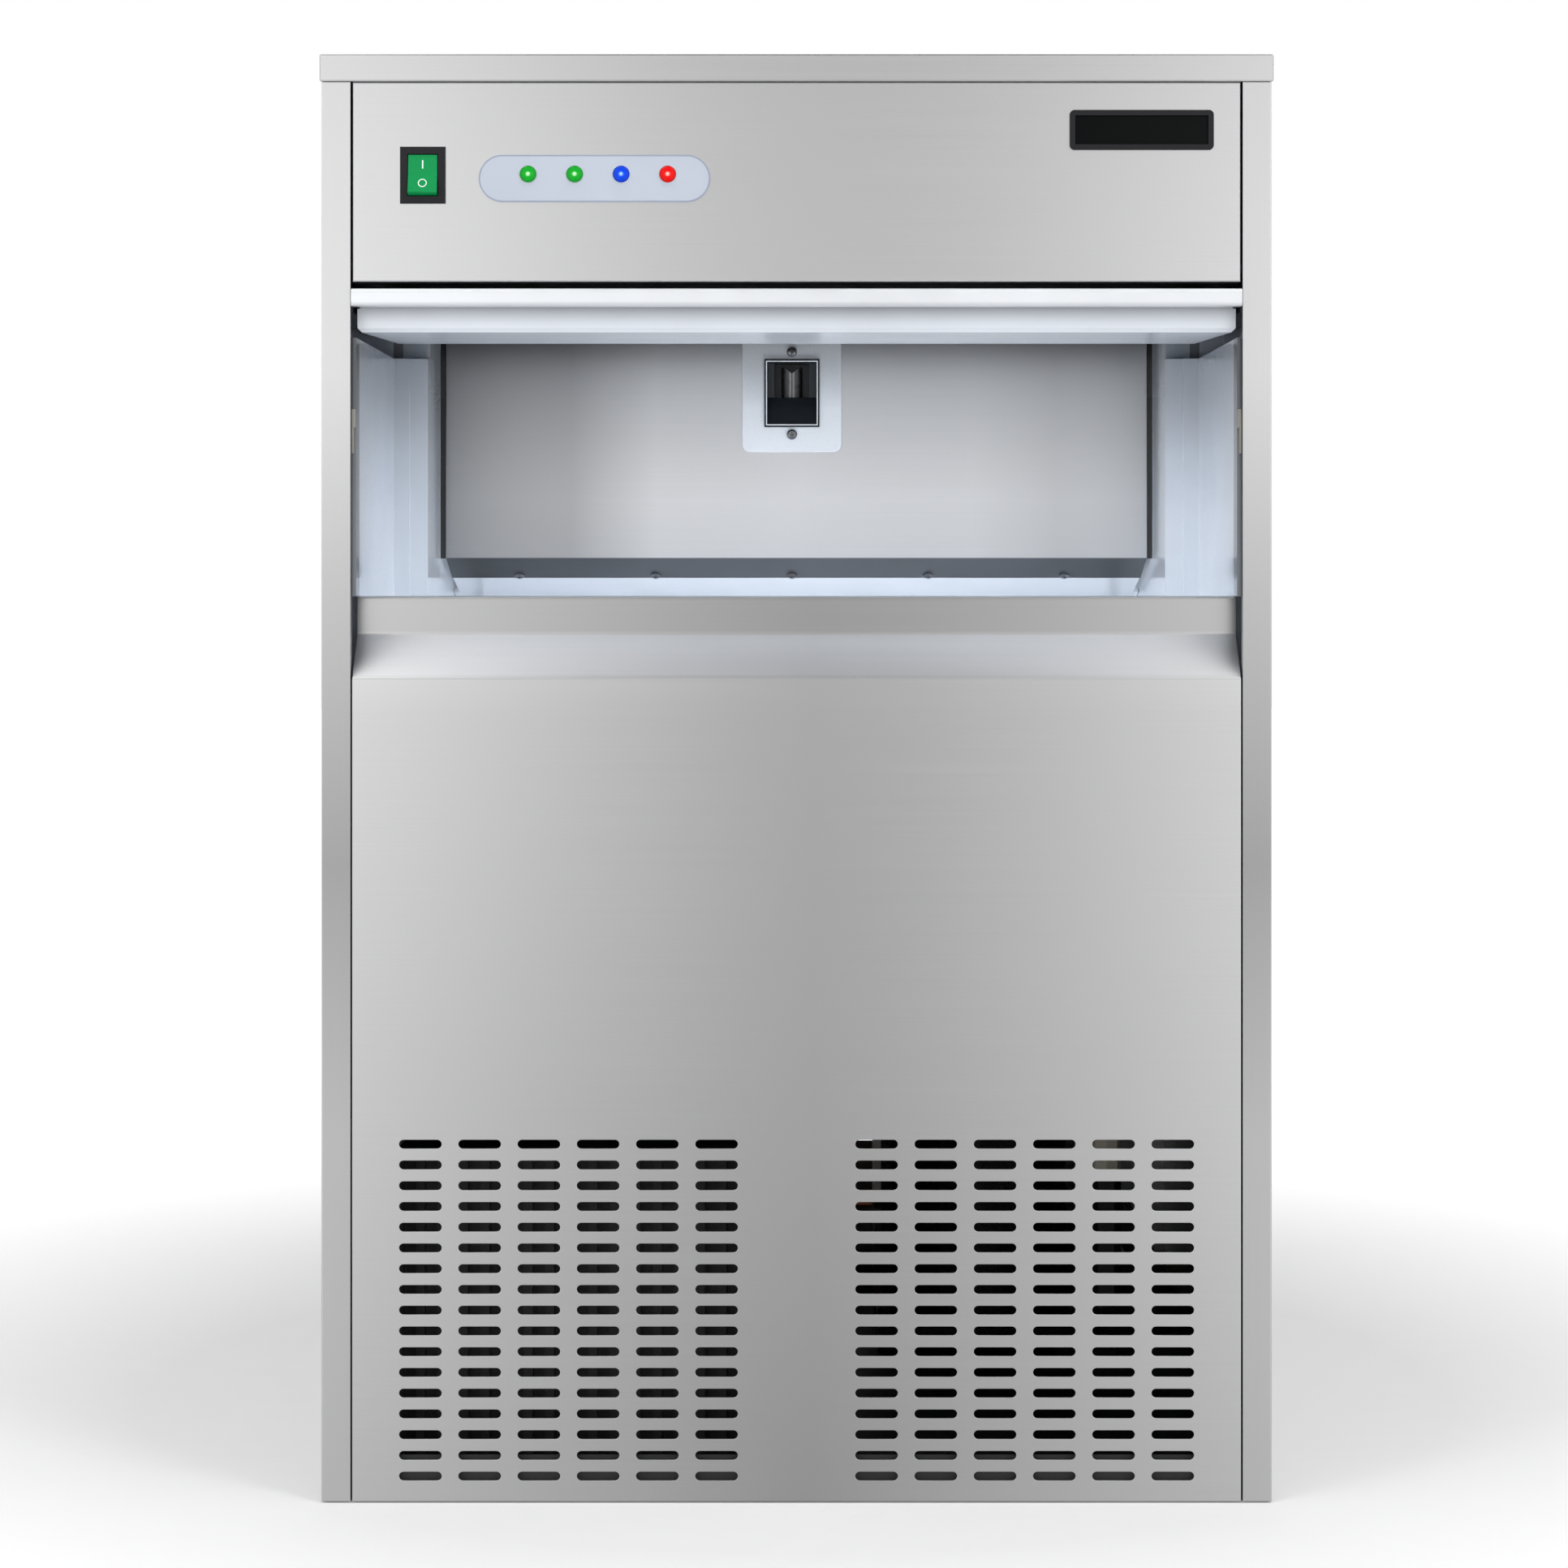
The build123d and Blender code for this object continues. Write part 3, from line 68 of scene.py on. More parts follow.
# Camera, at the photograph's place
CAMERA_PLACE = (-0.0007, -2.295, 0.5001)
CAMERA_LENS = 84.74
CAMERA_SHIFT = (-0.0072, -0.13)
CAMERA_SENSOR = 36

# Studio
WORLD_LIGHT = 0.5
FLOOR_REACH = 12.0
FLOOR_GREYS = (0.80, 0.82)
FLOOR_CELLS = 40
FLOOR_FADE = (0.4, 1.6)
FLOOR_LIFT = (0.12, 1.0)
FLOOR_GLOSS = [(0.0, 0.42), (0.25, 0.60), (0.46, 0.86), (0.9, 1.0)]
CARD_HALF = 1.6
CARD_HEIGHT = 4.0
CARD_DISTANCE = 3.6
CARD_STRENGTH = 1.6
CARD_UPRIGHT = [(0.025, 0.66), (0.22, 1.0), (0.33, 1.0), (0.43, 0.4)]
CARD_LIGHT = [(0.0, 1.0), (0.34, 0.95), (0.49, 0.10), (0.57, 0.10), (0.70, 0.92), (0.85, 1.0)]
CEILING_STRENGTH = 3.0
CEILING_WIDTH = 1.6
CEILING_LIGHT = [(0.30, 1.0), (0.44, 0.02), (0.58, 0.02), (0.72, 1.0)]
# Each softbox: its place, the point that it faces, its width and height, and its power in watts
SOFTBOXES = {
    "left_box": ((-1.9, -2.3, 1.3), (0, 0, 0.45), (0.9, 1.8), 16),
    "right_box": ((1.8, -2.2, 1.3), (0, 0, 0.45), (0.9, 1.8), 22),
    "top_box": ((0, -0.9, 2.9), (0, 0, 0.5), (1.8, 1.2), 22),
    "mouth_box": ((-0.2, -1.5, 0.30), (0, 0, 0.56), (0.8, 0.35), 2.6),
    "bin_box": ((0.03, -0.16, 0.30), (0.03, 0.10, 0.56), (0.36, 0.12), 0.9),
}

# Lower front panel
SHEET = 1.0 * MM
LEDGE_FACE = 20.7 * MM
SLOPE_DEPTH = 23.8 * MM
BEND_RADIUS = 1.6 * MM
PLAIN_TOP = 20 * MM
SLOT_LENGTH = 23.1 * MM
SLOT_HEIGHT = 4.8 * MM
SLOT_PITCH_X = 32.1 * MM
SLOT_PITCH_Z = 11.24 * MM
SLOT_COLUMNS = 6
SLOT_ROWS = 17
SLOT_FIRST_Z = 14.6 * MM
SLOT_GROUP_X = 123.6 * MM
STIFFENER_DEPTH = 14 * MM
STIFFENER_FOOT = 25 * MM

# Small pieces
LAMP_RADIUS = 4.85 * MM
LAMP_BULGE = 2.2 * MM
LAMP_RING = (0.42, 0.45, 0.48)
LAMP_RING_PLACE = 0.96
LAMP_GLOW = 0.3
LAMP_SHINE = 0.2
LAMP_STEP = 10
LAMP_CROWN = 0.02 * LAMP_RADIUS
STEM_RADIUS = 3.6 * MM
PLATE_LINE = 0.8 * MM
ROCKER_TILT = 11
ROCKER_PIVOT_DEPTH = 1.0 * MM
ROCKER_REACH = 10.46 * MM
ROCKER_CREST = 4.0 * MM
ROCKER_DIP = 2.6 * MM
MARK_HEIGHT = 4.6 * MM
MARK_WIDTH = 0.7 * MM
MARK_RADIUS = 2.4 * MM
MARK_STROKE = 0.5 * MM
MARK_PROUD = 0.05 * MM
SCREW_RADIUS = 3.2 * MM
SCREW_HEIGHT = 2.0 * MM
HEAD_ONLY = 1.5 * SCREW_HEIGHT
HEAD_PROFILE = [(1.0, 0.0), (1.0, 0.3), (0.97, 0.5), (0.88, 0.75), (0.72, 0.92), (0.56, 1.0)]
CAP_SLANT = 0.2
TIE_BREAK = 1e-3
CROSS_REACH = 1.6 * MM
CROSS_HALF = 0.38 * MM
CROSS_DEPTH = 1.1 * MM
BULB_RADIUS = 6.5 * MM
BULB_NOTCH = 4.0 * MM
NOTCH_HALF = 0.8 * BULB_RADIUS
# Painted highlights on the sensor bulb: two lighter upright bands near its middle, one each side
BULB_HIGHLIGHTS = [(0.0, 0.05), (0.14, 0.4), (0.3, 0.12), (0.5, 0.14), (0.8, 0.02)]
TRIM_INSET = 0.9 * MM
TRIM_WIDTH = 0.6 * MM
ROUND_STEPS = 48
STADIUM_STEPS = 20
SMOOTH_BELOW = 35

# Where colours change to paint in light and shade: a RANGE is along Z or Y, and a SHADE is what the colour
# is multiplied by there, as painted shade, painted highlight or painted reflection
MACHINE_HEIGHT = cad_box[1][2]
# Painted shade and painted reflection on the posts' fronts, in front of POST_BACK_Y: darkest a little below
# the middle of their height
POST_BACK_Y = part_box("left_side_panel")[0].y + 1.5 * MM
POST_SHADE = [(0.0, 0.95), (0.25, 0.86), (0.44, 0.60), (0.62, 0.78), (0.78, 1.0)]
# Painted shadow: the posts' return strips and the foam beside the mouth, between these distances from the
# middle, take this dark grey
POST_RETURN = (236.0 * MM, 241.8 * MM)
GAP_SHADOW_TINT = (0.13, 0.14, 0.16)
PANEL_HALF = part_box("lower_front_panel")[1].x
# Painted light and shade on the lower panel: the slope lighter than the slotted face below it, and the ledge
# face under the overhang darker
PANEL_RANGE = (440 * MM, 480 * MM)
PANEL_SHADE = [(0.15, 0.80), (0.22, 1.0), (0.74, 1.0), (0.80, 0.63)]
# Painted reflection across the lower panel: darker in the middle, lighter towards both sides
PANEL_SIDE_SHADE = [(0.0, 1.0), (0.32, 0.92), (0.52, 0.84), (0.7, 0.92), (1.0, 1.0)]
# Painted shade in the bin: the liner darker towards the top, under the door
LINER_RANGE = (510 * MM, 640 * MM)
LINER_SHADE = [(0.0, 1.0), (0.2, 0.96), (0.5, 0.8), (0.75, 0.58), (1.0, 0.44)]
# Painted shadow in the narrow gap between the baffle's edges and the liner's rear walls
LINER_REAR_HALF = 219.6 * MM
GAP_SHADE = 0.03
# Painted shade on the liner's front rim, near the posts
RIM_RANGE = (-295 * MM, -265 * MM)
RIM_SHADE = [(0.0, 0.22), (0.68, 0.3), (0.76, 1.0)]
# Painted shade: the foam in front of this Y takes a dark bluish grey, which stands in for shade under the
# door
MOUTH_BACK_Y = 100.0 * MM
BAFFLE_HALF = 215.9 * MM
BAFFLE_Y = -20.0 * MM
# Painted shade and painted reflection on the baffle, on a base lighter than the other steel: its flange
# dark, the baffle darker towards the top and towards its sides
BAFFLE_RANGE = (510 * MM, 640 * MM)
BAFFLE_SHADE = [(0.0, 0.12), (0.027, 0.12), (0.03, 1.0), (0.3, 1.0), (0.6, 0.83), (1.0, 0.66)]
BAFFLE_SIDE_SHADE = [(0.0, 0.44), (0.18, 0.54), (0.3, 0.9), (0.5, 1.0)]
BAFFLE_SIDE_SHADE += [(0.75, 0.93), (0.87, 0.77), (1.0, 0.8)]
# Painted shade on the sensor bracket: darker towards the top, under the door
BRACKET_RANGE = (579 * MM, 655 * MM)
BRACKET_SHADE = [(0.0, 1.0), (0.35, 0.95), (0.7, 0.62), (1.0, 0.42)]
# Painted shadow on the door's white front face below the grip lip: darker towards the top
DOOR_RANGE = (634 * MM, 648 * MM)
DOOR_SHADE = [(0.0, 1.0), (0.45, 0.9), (1.0, 0.52)]

# Cells per metre of the noise in the materials
ACROSS = (6, 2600, 2600)
UPRIGHT = (2600, 2600, 6)
STEEL_CLOUDS = 5
PLASTIC_CLOUDS = 14
LENS_GRAIN = 700
FOAM_CELLS = 500


def node(tree, kind, **inputs):
    """A shader node with some of its sockets set. A socket's value may be another node's output."""
    made = tree.nodes.new(kind)
    for name, value in inputs.items():
        connect(tree, value, made.inputs[name.replace("_", " ")])
    return made


def connect(tree, value, socket):
    """Sets a socket's value, or links another node's output to it."""
    if isinstance(value, bpy.types.NodeSocket):
        tree.links.new(value, socket)
    else:
        socket.default_value = value


def blank_material(name):
    """A new material, its node tree and its main shader."""
    material = bpy.data.materials.new(name)
    material.use_nodes = True
    return material, material.node_tree, material.node_tree.nodes["Principled BSDF"]


def scalar(tree, operation, first, second):
    """The outcome of a calculation on two values."""
    made = tree.nodes.new("ShaderNodeMath")
    made.operation = operation
    connect(tree, first, made.inputs[0])
    connect(tree, second, made.inputs[1])
    return made.outputs[0]


def position(tree):
    """The X, Y and Z of the shaded point in the frame, as three values."""
    place = node(tree, "ShaderNodeTexCoord")
    return node(tree, "ShaderNodeSeparateXYZ", Vector=place.outputs["Object"]).outputs


def noise(tree, stretch, detail=3.0):
    """Noise with that many cells per metre, the same all ways or along X, Y and Z."""
    stretch = stretch if isinstance(stretch, tuple) else (stretch,) * 3
    place = node(tree, "ShaderNodeTexCoord")
    mapping = node(tree, "ShaderNodeMapping", Vector=place.outputs["Object"], Scale=stretch)
    texture = node(tree, "ShaderNodeTexNoise", Vector=mapping.outputs["Vector"], Scale=1.0, Detail=detail)
    return texture.outputs["Fac"]


def mapped(tree, value, low, high, start=0.0, end=1.0):
    """A value's place between two limits, as one between a start and an end."""
    limits = {"From_Min": low, "From_Max": high, "To_Min": start, "To_Max": end}
    return node(tree, "ShaderNodeMapRange", Value=value, **limits).outputs["Result"]


def spread(tree, value, low, high):
    """Noise, which stays near its middle, spread over a range."""
    return mapped(tree, value, 0.3, 0.7, low, high)


def mixed(tree, factor, first, second, how="MIX"):
    """A colour between two, or between the first and their product, by a factor."""
    mix = tree.nodes.new("ShaderNodeMix")
    mix.data_type = "RGBA"
    mix.blend_type = how
    connect(tree, factor, mix.inputs["Factor"])
    connect(tree, first, mix.inputs["A"])
    connect(tree, second, mix.inputs["B"])
    return mix.outputs["Result"]


def tone(colour, share=1.0):
    """An opaque colour, made lighter or darker by a share."""
    return tuple(min(1.0, part * share) for part in colour) + (1.0,)


def relief(tree, height, depth, edge=0.0):
    """A normal that follows a height, over edges that look rounded by the given radius."""
    bump = node(tree, "ShaderNodeBump", Height=height, Distance=depth, Strength=1.0)
    if edge:
        soft = tree.nodes.new("ShaderNodeBevel")
        soft.samples = 4
        soft.inputs["Radius"].default_value = edge
        tree.links.new(soft.outputs["Normal"], bump.inputs["Normal"])
    return bump.outputs["Normal"]


def brushed(name, colour, stretch, roughness=(0.29, 0.33), contrast=0.02, edge=0.6 * MM):
    """Sheet steel with fine scratches along the axis that stretch gives the fewest cells."""
    material, tree, shader = blank_material(name)
    lines = noise(tree, stretch, detail=6.0)
    clouds = noise(tree, STEEL_CLOUDS, detail=2.0)
    streaks = mixed(tree, spread(tree, lines, 0, 1), tone(colour, 1 - contrast), tone(colour, 1 + contrast))
    cloudy = mixed(tree, spread(tree, clouds, 0.0, 0.25), streaks, tone(colour, 0.97))
    connect(tree, cloudy, shader.inputs["Base Color"])
    connect(tree, 1.0, shader.inputs["Metallic"])
    connect(tree, spread(tree, lines, *roughness), shader.inputs["Roughness"])
    connect(tree, relief(tree, lines, 0.0008 * MM, edge), shader.inputs["Normal"])
    return material


def moulded(
    name,
    colour,
    roughness=0.35,
    grain=900,
    depth=0.004 * MM,
    edge=0.4 * MM,
    coat=0.0,
    metallic=0.0,
    shine=0.5,
):
    """Plastic, paint or cast metal with a fine grain and slight changes of colour."""
    material, tree, shader = blank_material(name)
    fine = noise(tree, grain)
    clouds = noise(tree, PLASTIC_CLOUDS)
    base = mixed(tree, spread(tree, clouds, 0, 1), tone(colour, 0.965), tone(colour, 1.035))
    connect(tree, base, shader.inputs["Base Color"])
    connect(tree, spread(tree, fine, roughness * 0.85, roughness * 1.15), shader.inputs["Roughness"])
    connect(tree, relief(tree, fine, depth, edge), shader.inputs["Normal"])
    shader.inputs["Coat Weight"].default_value = coat
    shader.inputs["Metallic"].default_value = metallic
    shader.inputs["Specular IOR Level"].default_value = shine
    return material


def ramp(tree, value, stops):
    """A colour looked up in a list of stops by a value from 0 to 1."""
    lookup = node(tree, "ShaderNodeValToRGB", Fac=value)
    elements = lookup.color_ramp.elements
    while len(elements) < len(stops):
        elements.new(1.0)
    for element, (place, colour) in zip(elements, stops):
        element.position = place
        element.color = tone(colour if isinstance(colour, tuple) else (colour,) * 3)
    return lookup.outputs["Color"]


def lens(name, colour, bright):
    """A coloured lamp lens with a painted highlight at its crown, darker towards its edge, a pale ring, and
    a little light of its own.
    """
    material, tree, shader = blank_material(name)
    place = node(tree, "ShaderNodeTexCoord")
    flat = node(tree, "ShaderNodeVectorMath", Vector=place.outputs["Object"])
    flat.operation = "MULTIPLY"
    flat.inputs[1].default_value = (1 / LAMP_RADIUS, 0, 1 / LAMP_RADIUS)
    distance = node(tree, "ShaderNodeVectorMath", Vector=flat.outputs["Vector"])
    distance.operation = "LENGTH"
    # Painted highlight: the lens is near the bright colour at its crown, then its own colour, darker towards
    # the ring
    stops = [(0.0, bright), (0.07, bright), (0.30, colour), (0.8, tuple(0.75 * part for part in colour))]
    stops += [(0.93, tuple(0.55 * part for part in colour)), (LAMP_RING_PLACE, LAMP_RING)]
    colours = ramp(tree, distance.outputs["Value"], stops)
    connect(tree, colours, shader.inputs["Base Color"])
    connect(tree, colours, shader.inputs["Emission Color"])
    shader.inputs["Emission Strength"].default_value = LAMP_GLOW
    shader.inputs["Specular IOR Level"].default_value = LAMP_SHINE
    connect(tree, spread(tree, noise(tree, LENS_GRAIN), 0.06, 0.14), shader.inputs["Roughness"])
    return material


def bulb_material(name, colour):
    """Dark glossy plastic with two upright painted highlights in its colour."""
    material = moulded(name, colour, 0.3, grain=200, edge=0.0)
    tree = material.node_tree
    shader = tree.nodes["Principled BSDF"]
    aside = scalar(tree, "ABSOLUTE", position(tree)["X"], 0.0)
    across = mapped(tree, aside, 0.0, BULB_RADIUS)
    connect(tree, ramp(tree, across, BULB_HIGHLIGHTS), shader.inputs["Base Color"])
    return material


def foam_material(name, colour):
    """Cut insulation foam with open cells."""
    material, tree, shader = blank_material(name)
    cells = noise(tree, FOAM_CELLS, detail=5.0)
    base = mixed(tree, spread(tree, cells, 0, 1), tone(colour, 0.85), tone(colour, 1.1))
    connect(tree, base, shader.inputs["Base Color"])
    shader.inputs["Roughness"].default_value = 0.9
    connect(tree, relief(tree, cells, 0.3 * MM), shader.inputs["Normal"])
    return material


def repainted(material, factor, colour, how="MIX"):
    """The material with its colour mixed with another by a factor."""
    tree = material.node_tree
    base = tree.nodes["Principled BSDF"].inputs["Base Color"]
    connect(tree, mixed(tree, factor, base.links[0].from_socket, colour, how), base)
    return material


def between(tree, low, high):
    """1 between two distances from the machine's middle plane, and 0 elsewhere."""
    aside = scalar(tree, "ABSOLUTE", position(tree)["X"], 0.0)
    beyond = scalar(tree, "GREATER_THAN", aside, low)
    return scalar(tree, "MULTIPLY", beyond, scalar(tree, "LESS_THAN", aside, high))


def darker_between(material, low, high):
    """The material, with a painted shadow where the narrow gap beside the mouth's posts lies."""
    return repainted(material, between(material.node_tree, low, high), tone(GAP_SHADOW_TINT))


def liner_material(name, colour):
    """The bin's glossy white moulding, with a painted shadow in the narrow gap beside the baffle."""
    material = moulded(name, colour, 0.16, coat=0.2)
    tree = material.node_tree
    behind = scalar(tree, "GREATER_THAN", position(tree)["Y"], BAFFLE_Y)
    gap = scalar(tree, "MULTIPLY", between(tree, BAFFLE_HALF, LINER_REAR_HALF), behind)
    return repainted(material, gap, tone((GAP_SHADE,) * 3))


def shaded_foam(name, colour, shade_colour):
    """Insulation foam, with a painted shade of bluish grey where the bin's mouth shows it."""
    material = foam_material(name, colour)
    tree = material.node_tree
    front = scalar(tree, "LESS_THAN", position(tree)["Y"], MOUTH_BACK_Y)
    return repainted(material, front, tone(shade_colour))


def graded(material, axis, low, high, stops, back=None):
    """The material with its colour multiplied by shares that change along an axis of the frame, which paints
    in light and shade.

    Where back is given, only what lies in front of that Y changes.
    """
    tree = material.node_tree
    level = mapped(tree, position(tree)[axis], low, high)
    share = 1.0 if back is None else scalar(tree, "LESS_THAN", position(tree)["Y"], back)
    return repainted(material, share, ramp(tree, level, stops), "MULTIPLY")


STEEL = (0.74, 0.74, 0.745)
FINISHES = {
    "brushed_stainless": brushed("brushed_stainless", STEEL, ACROSS),
    "stainless_inner": brushed("stainless_inner", (0.66, 0.68, 0.71), ACROSS, (0.33, 0.38), 0.02, 0.3 * MM),
    "zinc_sheet": brushed("zinc_sheet", (0.50, 0.51, 0.52), 250, (0.40, 0.52), 0.06, 0.3 * MM),
    "screws": brushed("screws", (0.26, 0.26, 0.27), 900, (0.16, 0.24), 0.05, 0.0),
    "white_plastic": moulded("white_plastic", (0.74, 0.79, 0.86), 0.16, coat=0.2),
    "cream_plastic": moulded("cream_plastic", (0.32, 0.31, 0.27), 0.4),
    "foam": foam_material("foam", (0.74, 0.66, 0.42)),
    "guide_plastic": moulded("guide_plastic", (0.10, 0.105, 0.115), 0.4),
    "tray_plastic": moulded("tray_plastic", (0.66, 0.70, 0.74), 0.3),
    "black_plastic": moulded("black_plastic", (0.012, 0.012, 0.014), 0.42, shine=0.25),
    "sensor_plastic": moulded("sensor_plastic", (0.022, 0.027, 0.034), 0.24, 60, 0.0004 * MM),
    "display_glass": moulded("display_glass", (0.004, 0.005, 0.005), 0.12, 300, 0.0004 * MM, shine=0.05),
    "rocker_green": moulded("rocker_green", (0.0, 0.27, 0.07), 0.3, shine=0.25),
    "plate_grey": moulded("plate_grey", (0.48, 0.527, 0.61), 0.4, edge=0.0),
    # Each lens: its colour, then the colour of its painted highlight.
    "lamp_green": lens("lamp_green", (0.004, 0.34, 0.02), (0.55, 0.9, 0.5)),
    "lamp_blue": lens("lamp_blue", (0.001, 0.05, 0.66), (0.3, 0.55, 1.0)),
    "lamp_red": lens("lamp_red", (0.72, 0.002, 0.002), (1.0, 0.5, 0.45)),
    "board": moulded("board", (0.01, 0.12, 0.05), 0.35),
    "black_enamel": moulded("black_enamel", (0.012, 0.012, 0.014), 0.3),
    "rubber": moulded("rubber", (0.015, 0.015, 0.015), 0.8),
    "fins": moulded("fins", (0.05, 0.05, 0.052), 0.5, metallic=0.5, edge=0.0),
    "motor_casting": moulded("motor_casting", (0.09, 0.09, 0.095), 0.5, 300, 0.05 * MM, metallic=0.7),
    "copper": brushed("copper", (0.75, 0.33, 0.18), 200, (0.25, 0.4), 0.1, 0.0),
    "valve_plastic": moulded("valve_plastic", (0.62, 0.62, 0.58), 0.4),
    "water_tube": moulded("water_tube", (0.60, 0.63, 0.66), 0.25),
}
POST_STEEL = brushed("post_steel", STEEL, UPRIGHT)
# The posts' fronts get painted shade and painted reflection by height.
POST_STEEL = graded(POST_STEEL, "Z", 0.0, MACHINE_HEIGHT, POST_SHADE, POST_BACK_Y)
# Painted shadow on the posts' return strips beside the mouth.
POST_STEEL = darker_between(POST_STEEL, *POST_RETURN)
PANEL_STEEL = brushed("panel_steel", (0.92, 0.92, 0.926), ACROSS)
# Painted highlight on the slope and painted shade on the ledge face.
PANEL_STEEL = graded(PANEL_STEEL, "Z", *PANEL_RANGE, PANEL_SHADE)
# Painted reflection: the lower panel darker in the middle.
PANEL_STEEL = graded(PANEL_STEEL, "X", -PANEL_HALF, PANEL_HALF, PANEL_SIDE_SHADE)
LINER_WHITE = liner_material("liner_white", (0.74, 0.79, 0.86))
# Painted shade: the liner darker towards the top of the bin.
LINER_WHITE = graded(LINER_WHITE, "Z", *LINER_RANGE, LINER_SHADE)
# Painted shade on the liner's front rim.
LINER_WHITE = graded(LINER_WHITE, "Y", *RIM_RANGE, RIM_SHADE)
# The foam that the mouth shows gets a painted shade of bluish grey.
SHADED_FOAM = shaded_foam("shaded_foam", (0.74, 0.66, 0.42), (0.34, 0.38, 0.44))
# The same painted shadow on the foam beside the mouth's posts.
SHADED_FOAM = darker_between(SHADED_FOAM, *POST_RETURN)
BAFFLE_STEEL = brushed("baffle_steel", (0.95, 0.96, 0.98), ACROSS)
# Painted shade and painted reflection: the flange dark and the baffle darker towards the top.
BAFFLE_STEEL = graded(BAFFLE_STEEL, "Z", *BAFFLE_RANGE, BAFFLE_SHADE)
# Painted reflection: the baffle darker towards its sides, most on the left.
BAFFLE_STEEL = graded(BAFFLE_STEEL, "X", -BAFFLE_HALF, BAFFLE_HALF, BAFFLE_SIDE_SHADE)
LIP_STEEL = moulded("lip_steel", (0.84, 0.86, 0.89), 0.34, 60, 0.0002 * MM, 0.8 * MM, metallic=0.5)
MACHINE_DARK = moulded("machine_dark", (0.03, 0.03, 0.032), 0.5)
# The door's white parts get a painted shadow under the grip lip.
DOOR_WHITE = graded(moulded("door_white", (0.74, 0.78, 0.84), 0.2), "Z", *DOOR_RANGE, DOOR_SHADE)
BRACKET_WHITE = moulded("bracket_white", (0.80, 0.84, 0.89), 0.3)
# Painted shade: the bracket darker towards the top.
BRACKET_WHITE = graded(BRACKET_WHITE, "Z", *BRACKET_RANGE, BRACKET_SHADE)
DRAIN_CREAM = moulded("drain_cream", (0.60, 0.56, 0.46), 0.4)
MARK_WHITE = moulded("mark_white", (0.85, 0.90, 0.86), 0.4, edge=0.0)
RIM_GREY = moulded("rim_grey", (0.30, 0.34, 0.44), 0.35, edge=0.0)
TRIM_BRIGHT = moulded("trim_bright", (0.85, 0.87, 0.90), 0.3, edge=0.0)
BULB_DARK = bulb_material("bulb_dark", (0.1, 0.1, 0.1))


def dress_cad():
    """Gives each CAD node the finish of its slot, or one of its own."""
    own = {
        "left_side_panel": POST_STEEL,
        "right_side_panel": POST_STEEL,
        "sensor_bracket": BRACKET_WHITE,
        "bin_liner": LINER_WHITE,
        "insulation_foam": SHADED_FOAM,
        "door_insulation": DOOR_WHITE,
        "door_outer_skin": FINISHES["brushed_stainless"],
        "door_grip_lip": LIP_STEEL,
        "ice_baffle": BAFFLE_STEEL,
        "base_pan": MACHINE_DARK,
        "fan_shroud": MACHINE_DARK,
        "door_inner_panel": DOOR_WHITE,
        "drain_spigot": DRAIN_CREAM,
    }
    for part in frame["record"]["subparts"]:
        mesh = frame["nodes"][part["node"]].data
        mesh.materials.clear()
        mesh.materials.append(own.get(part["node"], FINISHES[part["material_slot"]]))


def add_prism(shape, outline, low, high):
    """A closed (y, z) outline, extruded along X from low to high."""
    ends = [[shape.verts.new((x, y, z)) for y, z in outline] for x in (low, high)]
    shape.faces.new(ends[0])
    shape.faces.new(ends[1][::-1])
    for index, corner in enumerate(ends[0]):
        following = (index + 1) % len(outline)
        shape.faces.new((corner, ends[1][index], ends[1][following], ends[0][following]))


def circle(radius):
    """Points round a circle."""
    turns = [math.tau * step / ROUND_STEPS for step in range(ROUND_STEPS)]
    return [(radius * math.cos(turn), radius * math.sin(turn)) for turn in turns]


def cross(reach, half):
    """Points round a cross, at the same angles as a circle's."""
    points = []
    for x, y in circle(1.0):
        level, upright = abs(x) + 1e-9, abs(y) + 1e-9
        radius = max(min(reach / level, half / upright), min(half / level, reach / upright))
        points.append((radius * x, radius * y))
    return points


def add_loft(shape, rings, place):
    """A closed skin through rings of (points, height) in a place's own axes."""
    loops = []
    for points, height in rings:
        loops.append([shape.verts.new(place @ Vector((x, y, height))) for x, y in points])
    for lower, upper in zip(loops, loops[1:]):
        for number, corner in enumerate(lower):
            following = (number + 1) % len(lower)
            shape.faces.new((corner, lower[following], upper[following], upper[number]))
    shape.faces.new(loops[0][::-1])
    shape.faces.new(loops[-1])


def add_ring(shape, outer, inner, place, depth):
    """A flat ring between two outlines of the same number of points, raised by a depth."""
    loops = []
    for points, height in ((outer, 0), (outer, depth), (inner, depth), (inner, 0)):
        loops.append([shape.verts.new(place @ Vector((x, y, height))) for x, y in points])
    for one, other in zip(loops, loops[1:] + loops[:1]):
        for number, corner in enumerate(one):
            following = (number + 1) % len(one)
            shape.faces.new((corner, one[following], other[following], other[number]))


def piece(name, shape, material, body, replaces=(), origin=(0, 0, 0)):
    """A finished object from a shape that is drawn in the frame, riding on its body."""
    bmesh.ops.recalc_face_normals(shape, faces=shape.faces[:])
    bmesh.ops.translate(shape, verts=shape.verts[:], vec=-Vector(origin))
    mesh = bpy.data.meshes.new(name)
    shape.to_mesh(mesh)
    shape.free()
    mesh.polygons.foreach_set("use_smooth", [True] * len(mesh.polygons))
    mesh.set_sharp_from_angle(angle=math.radians(SMOOTH_BELOW))
    mesh.materials.append(material)
    made = bpy.data.objects.new(name, mesh)
    made.location = origin
    bpy.context.scene.collection.objects.link(made)
    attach(made, body)
    if replaces:
        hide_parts(*replaces)
    return made


def facing_front(x, y, z):
    """A place whose Z axis points out of the front."""
    return Matrix.Translation((x, y, z)) @ Matrix.Rotation(math.radians(90), 4, "X")


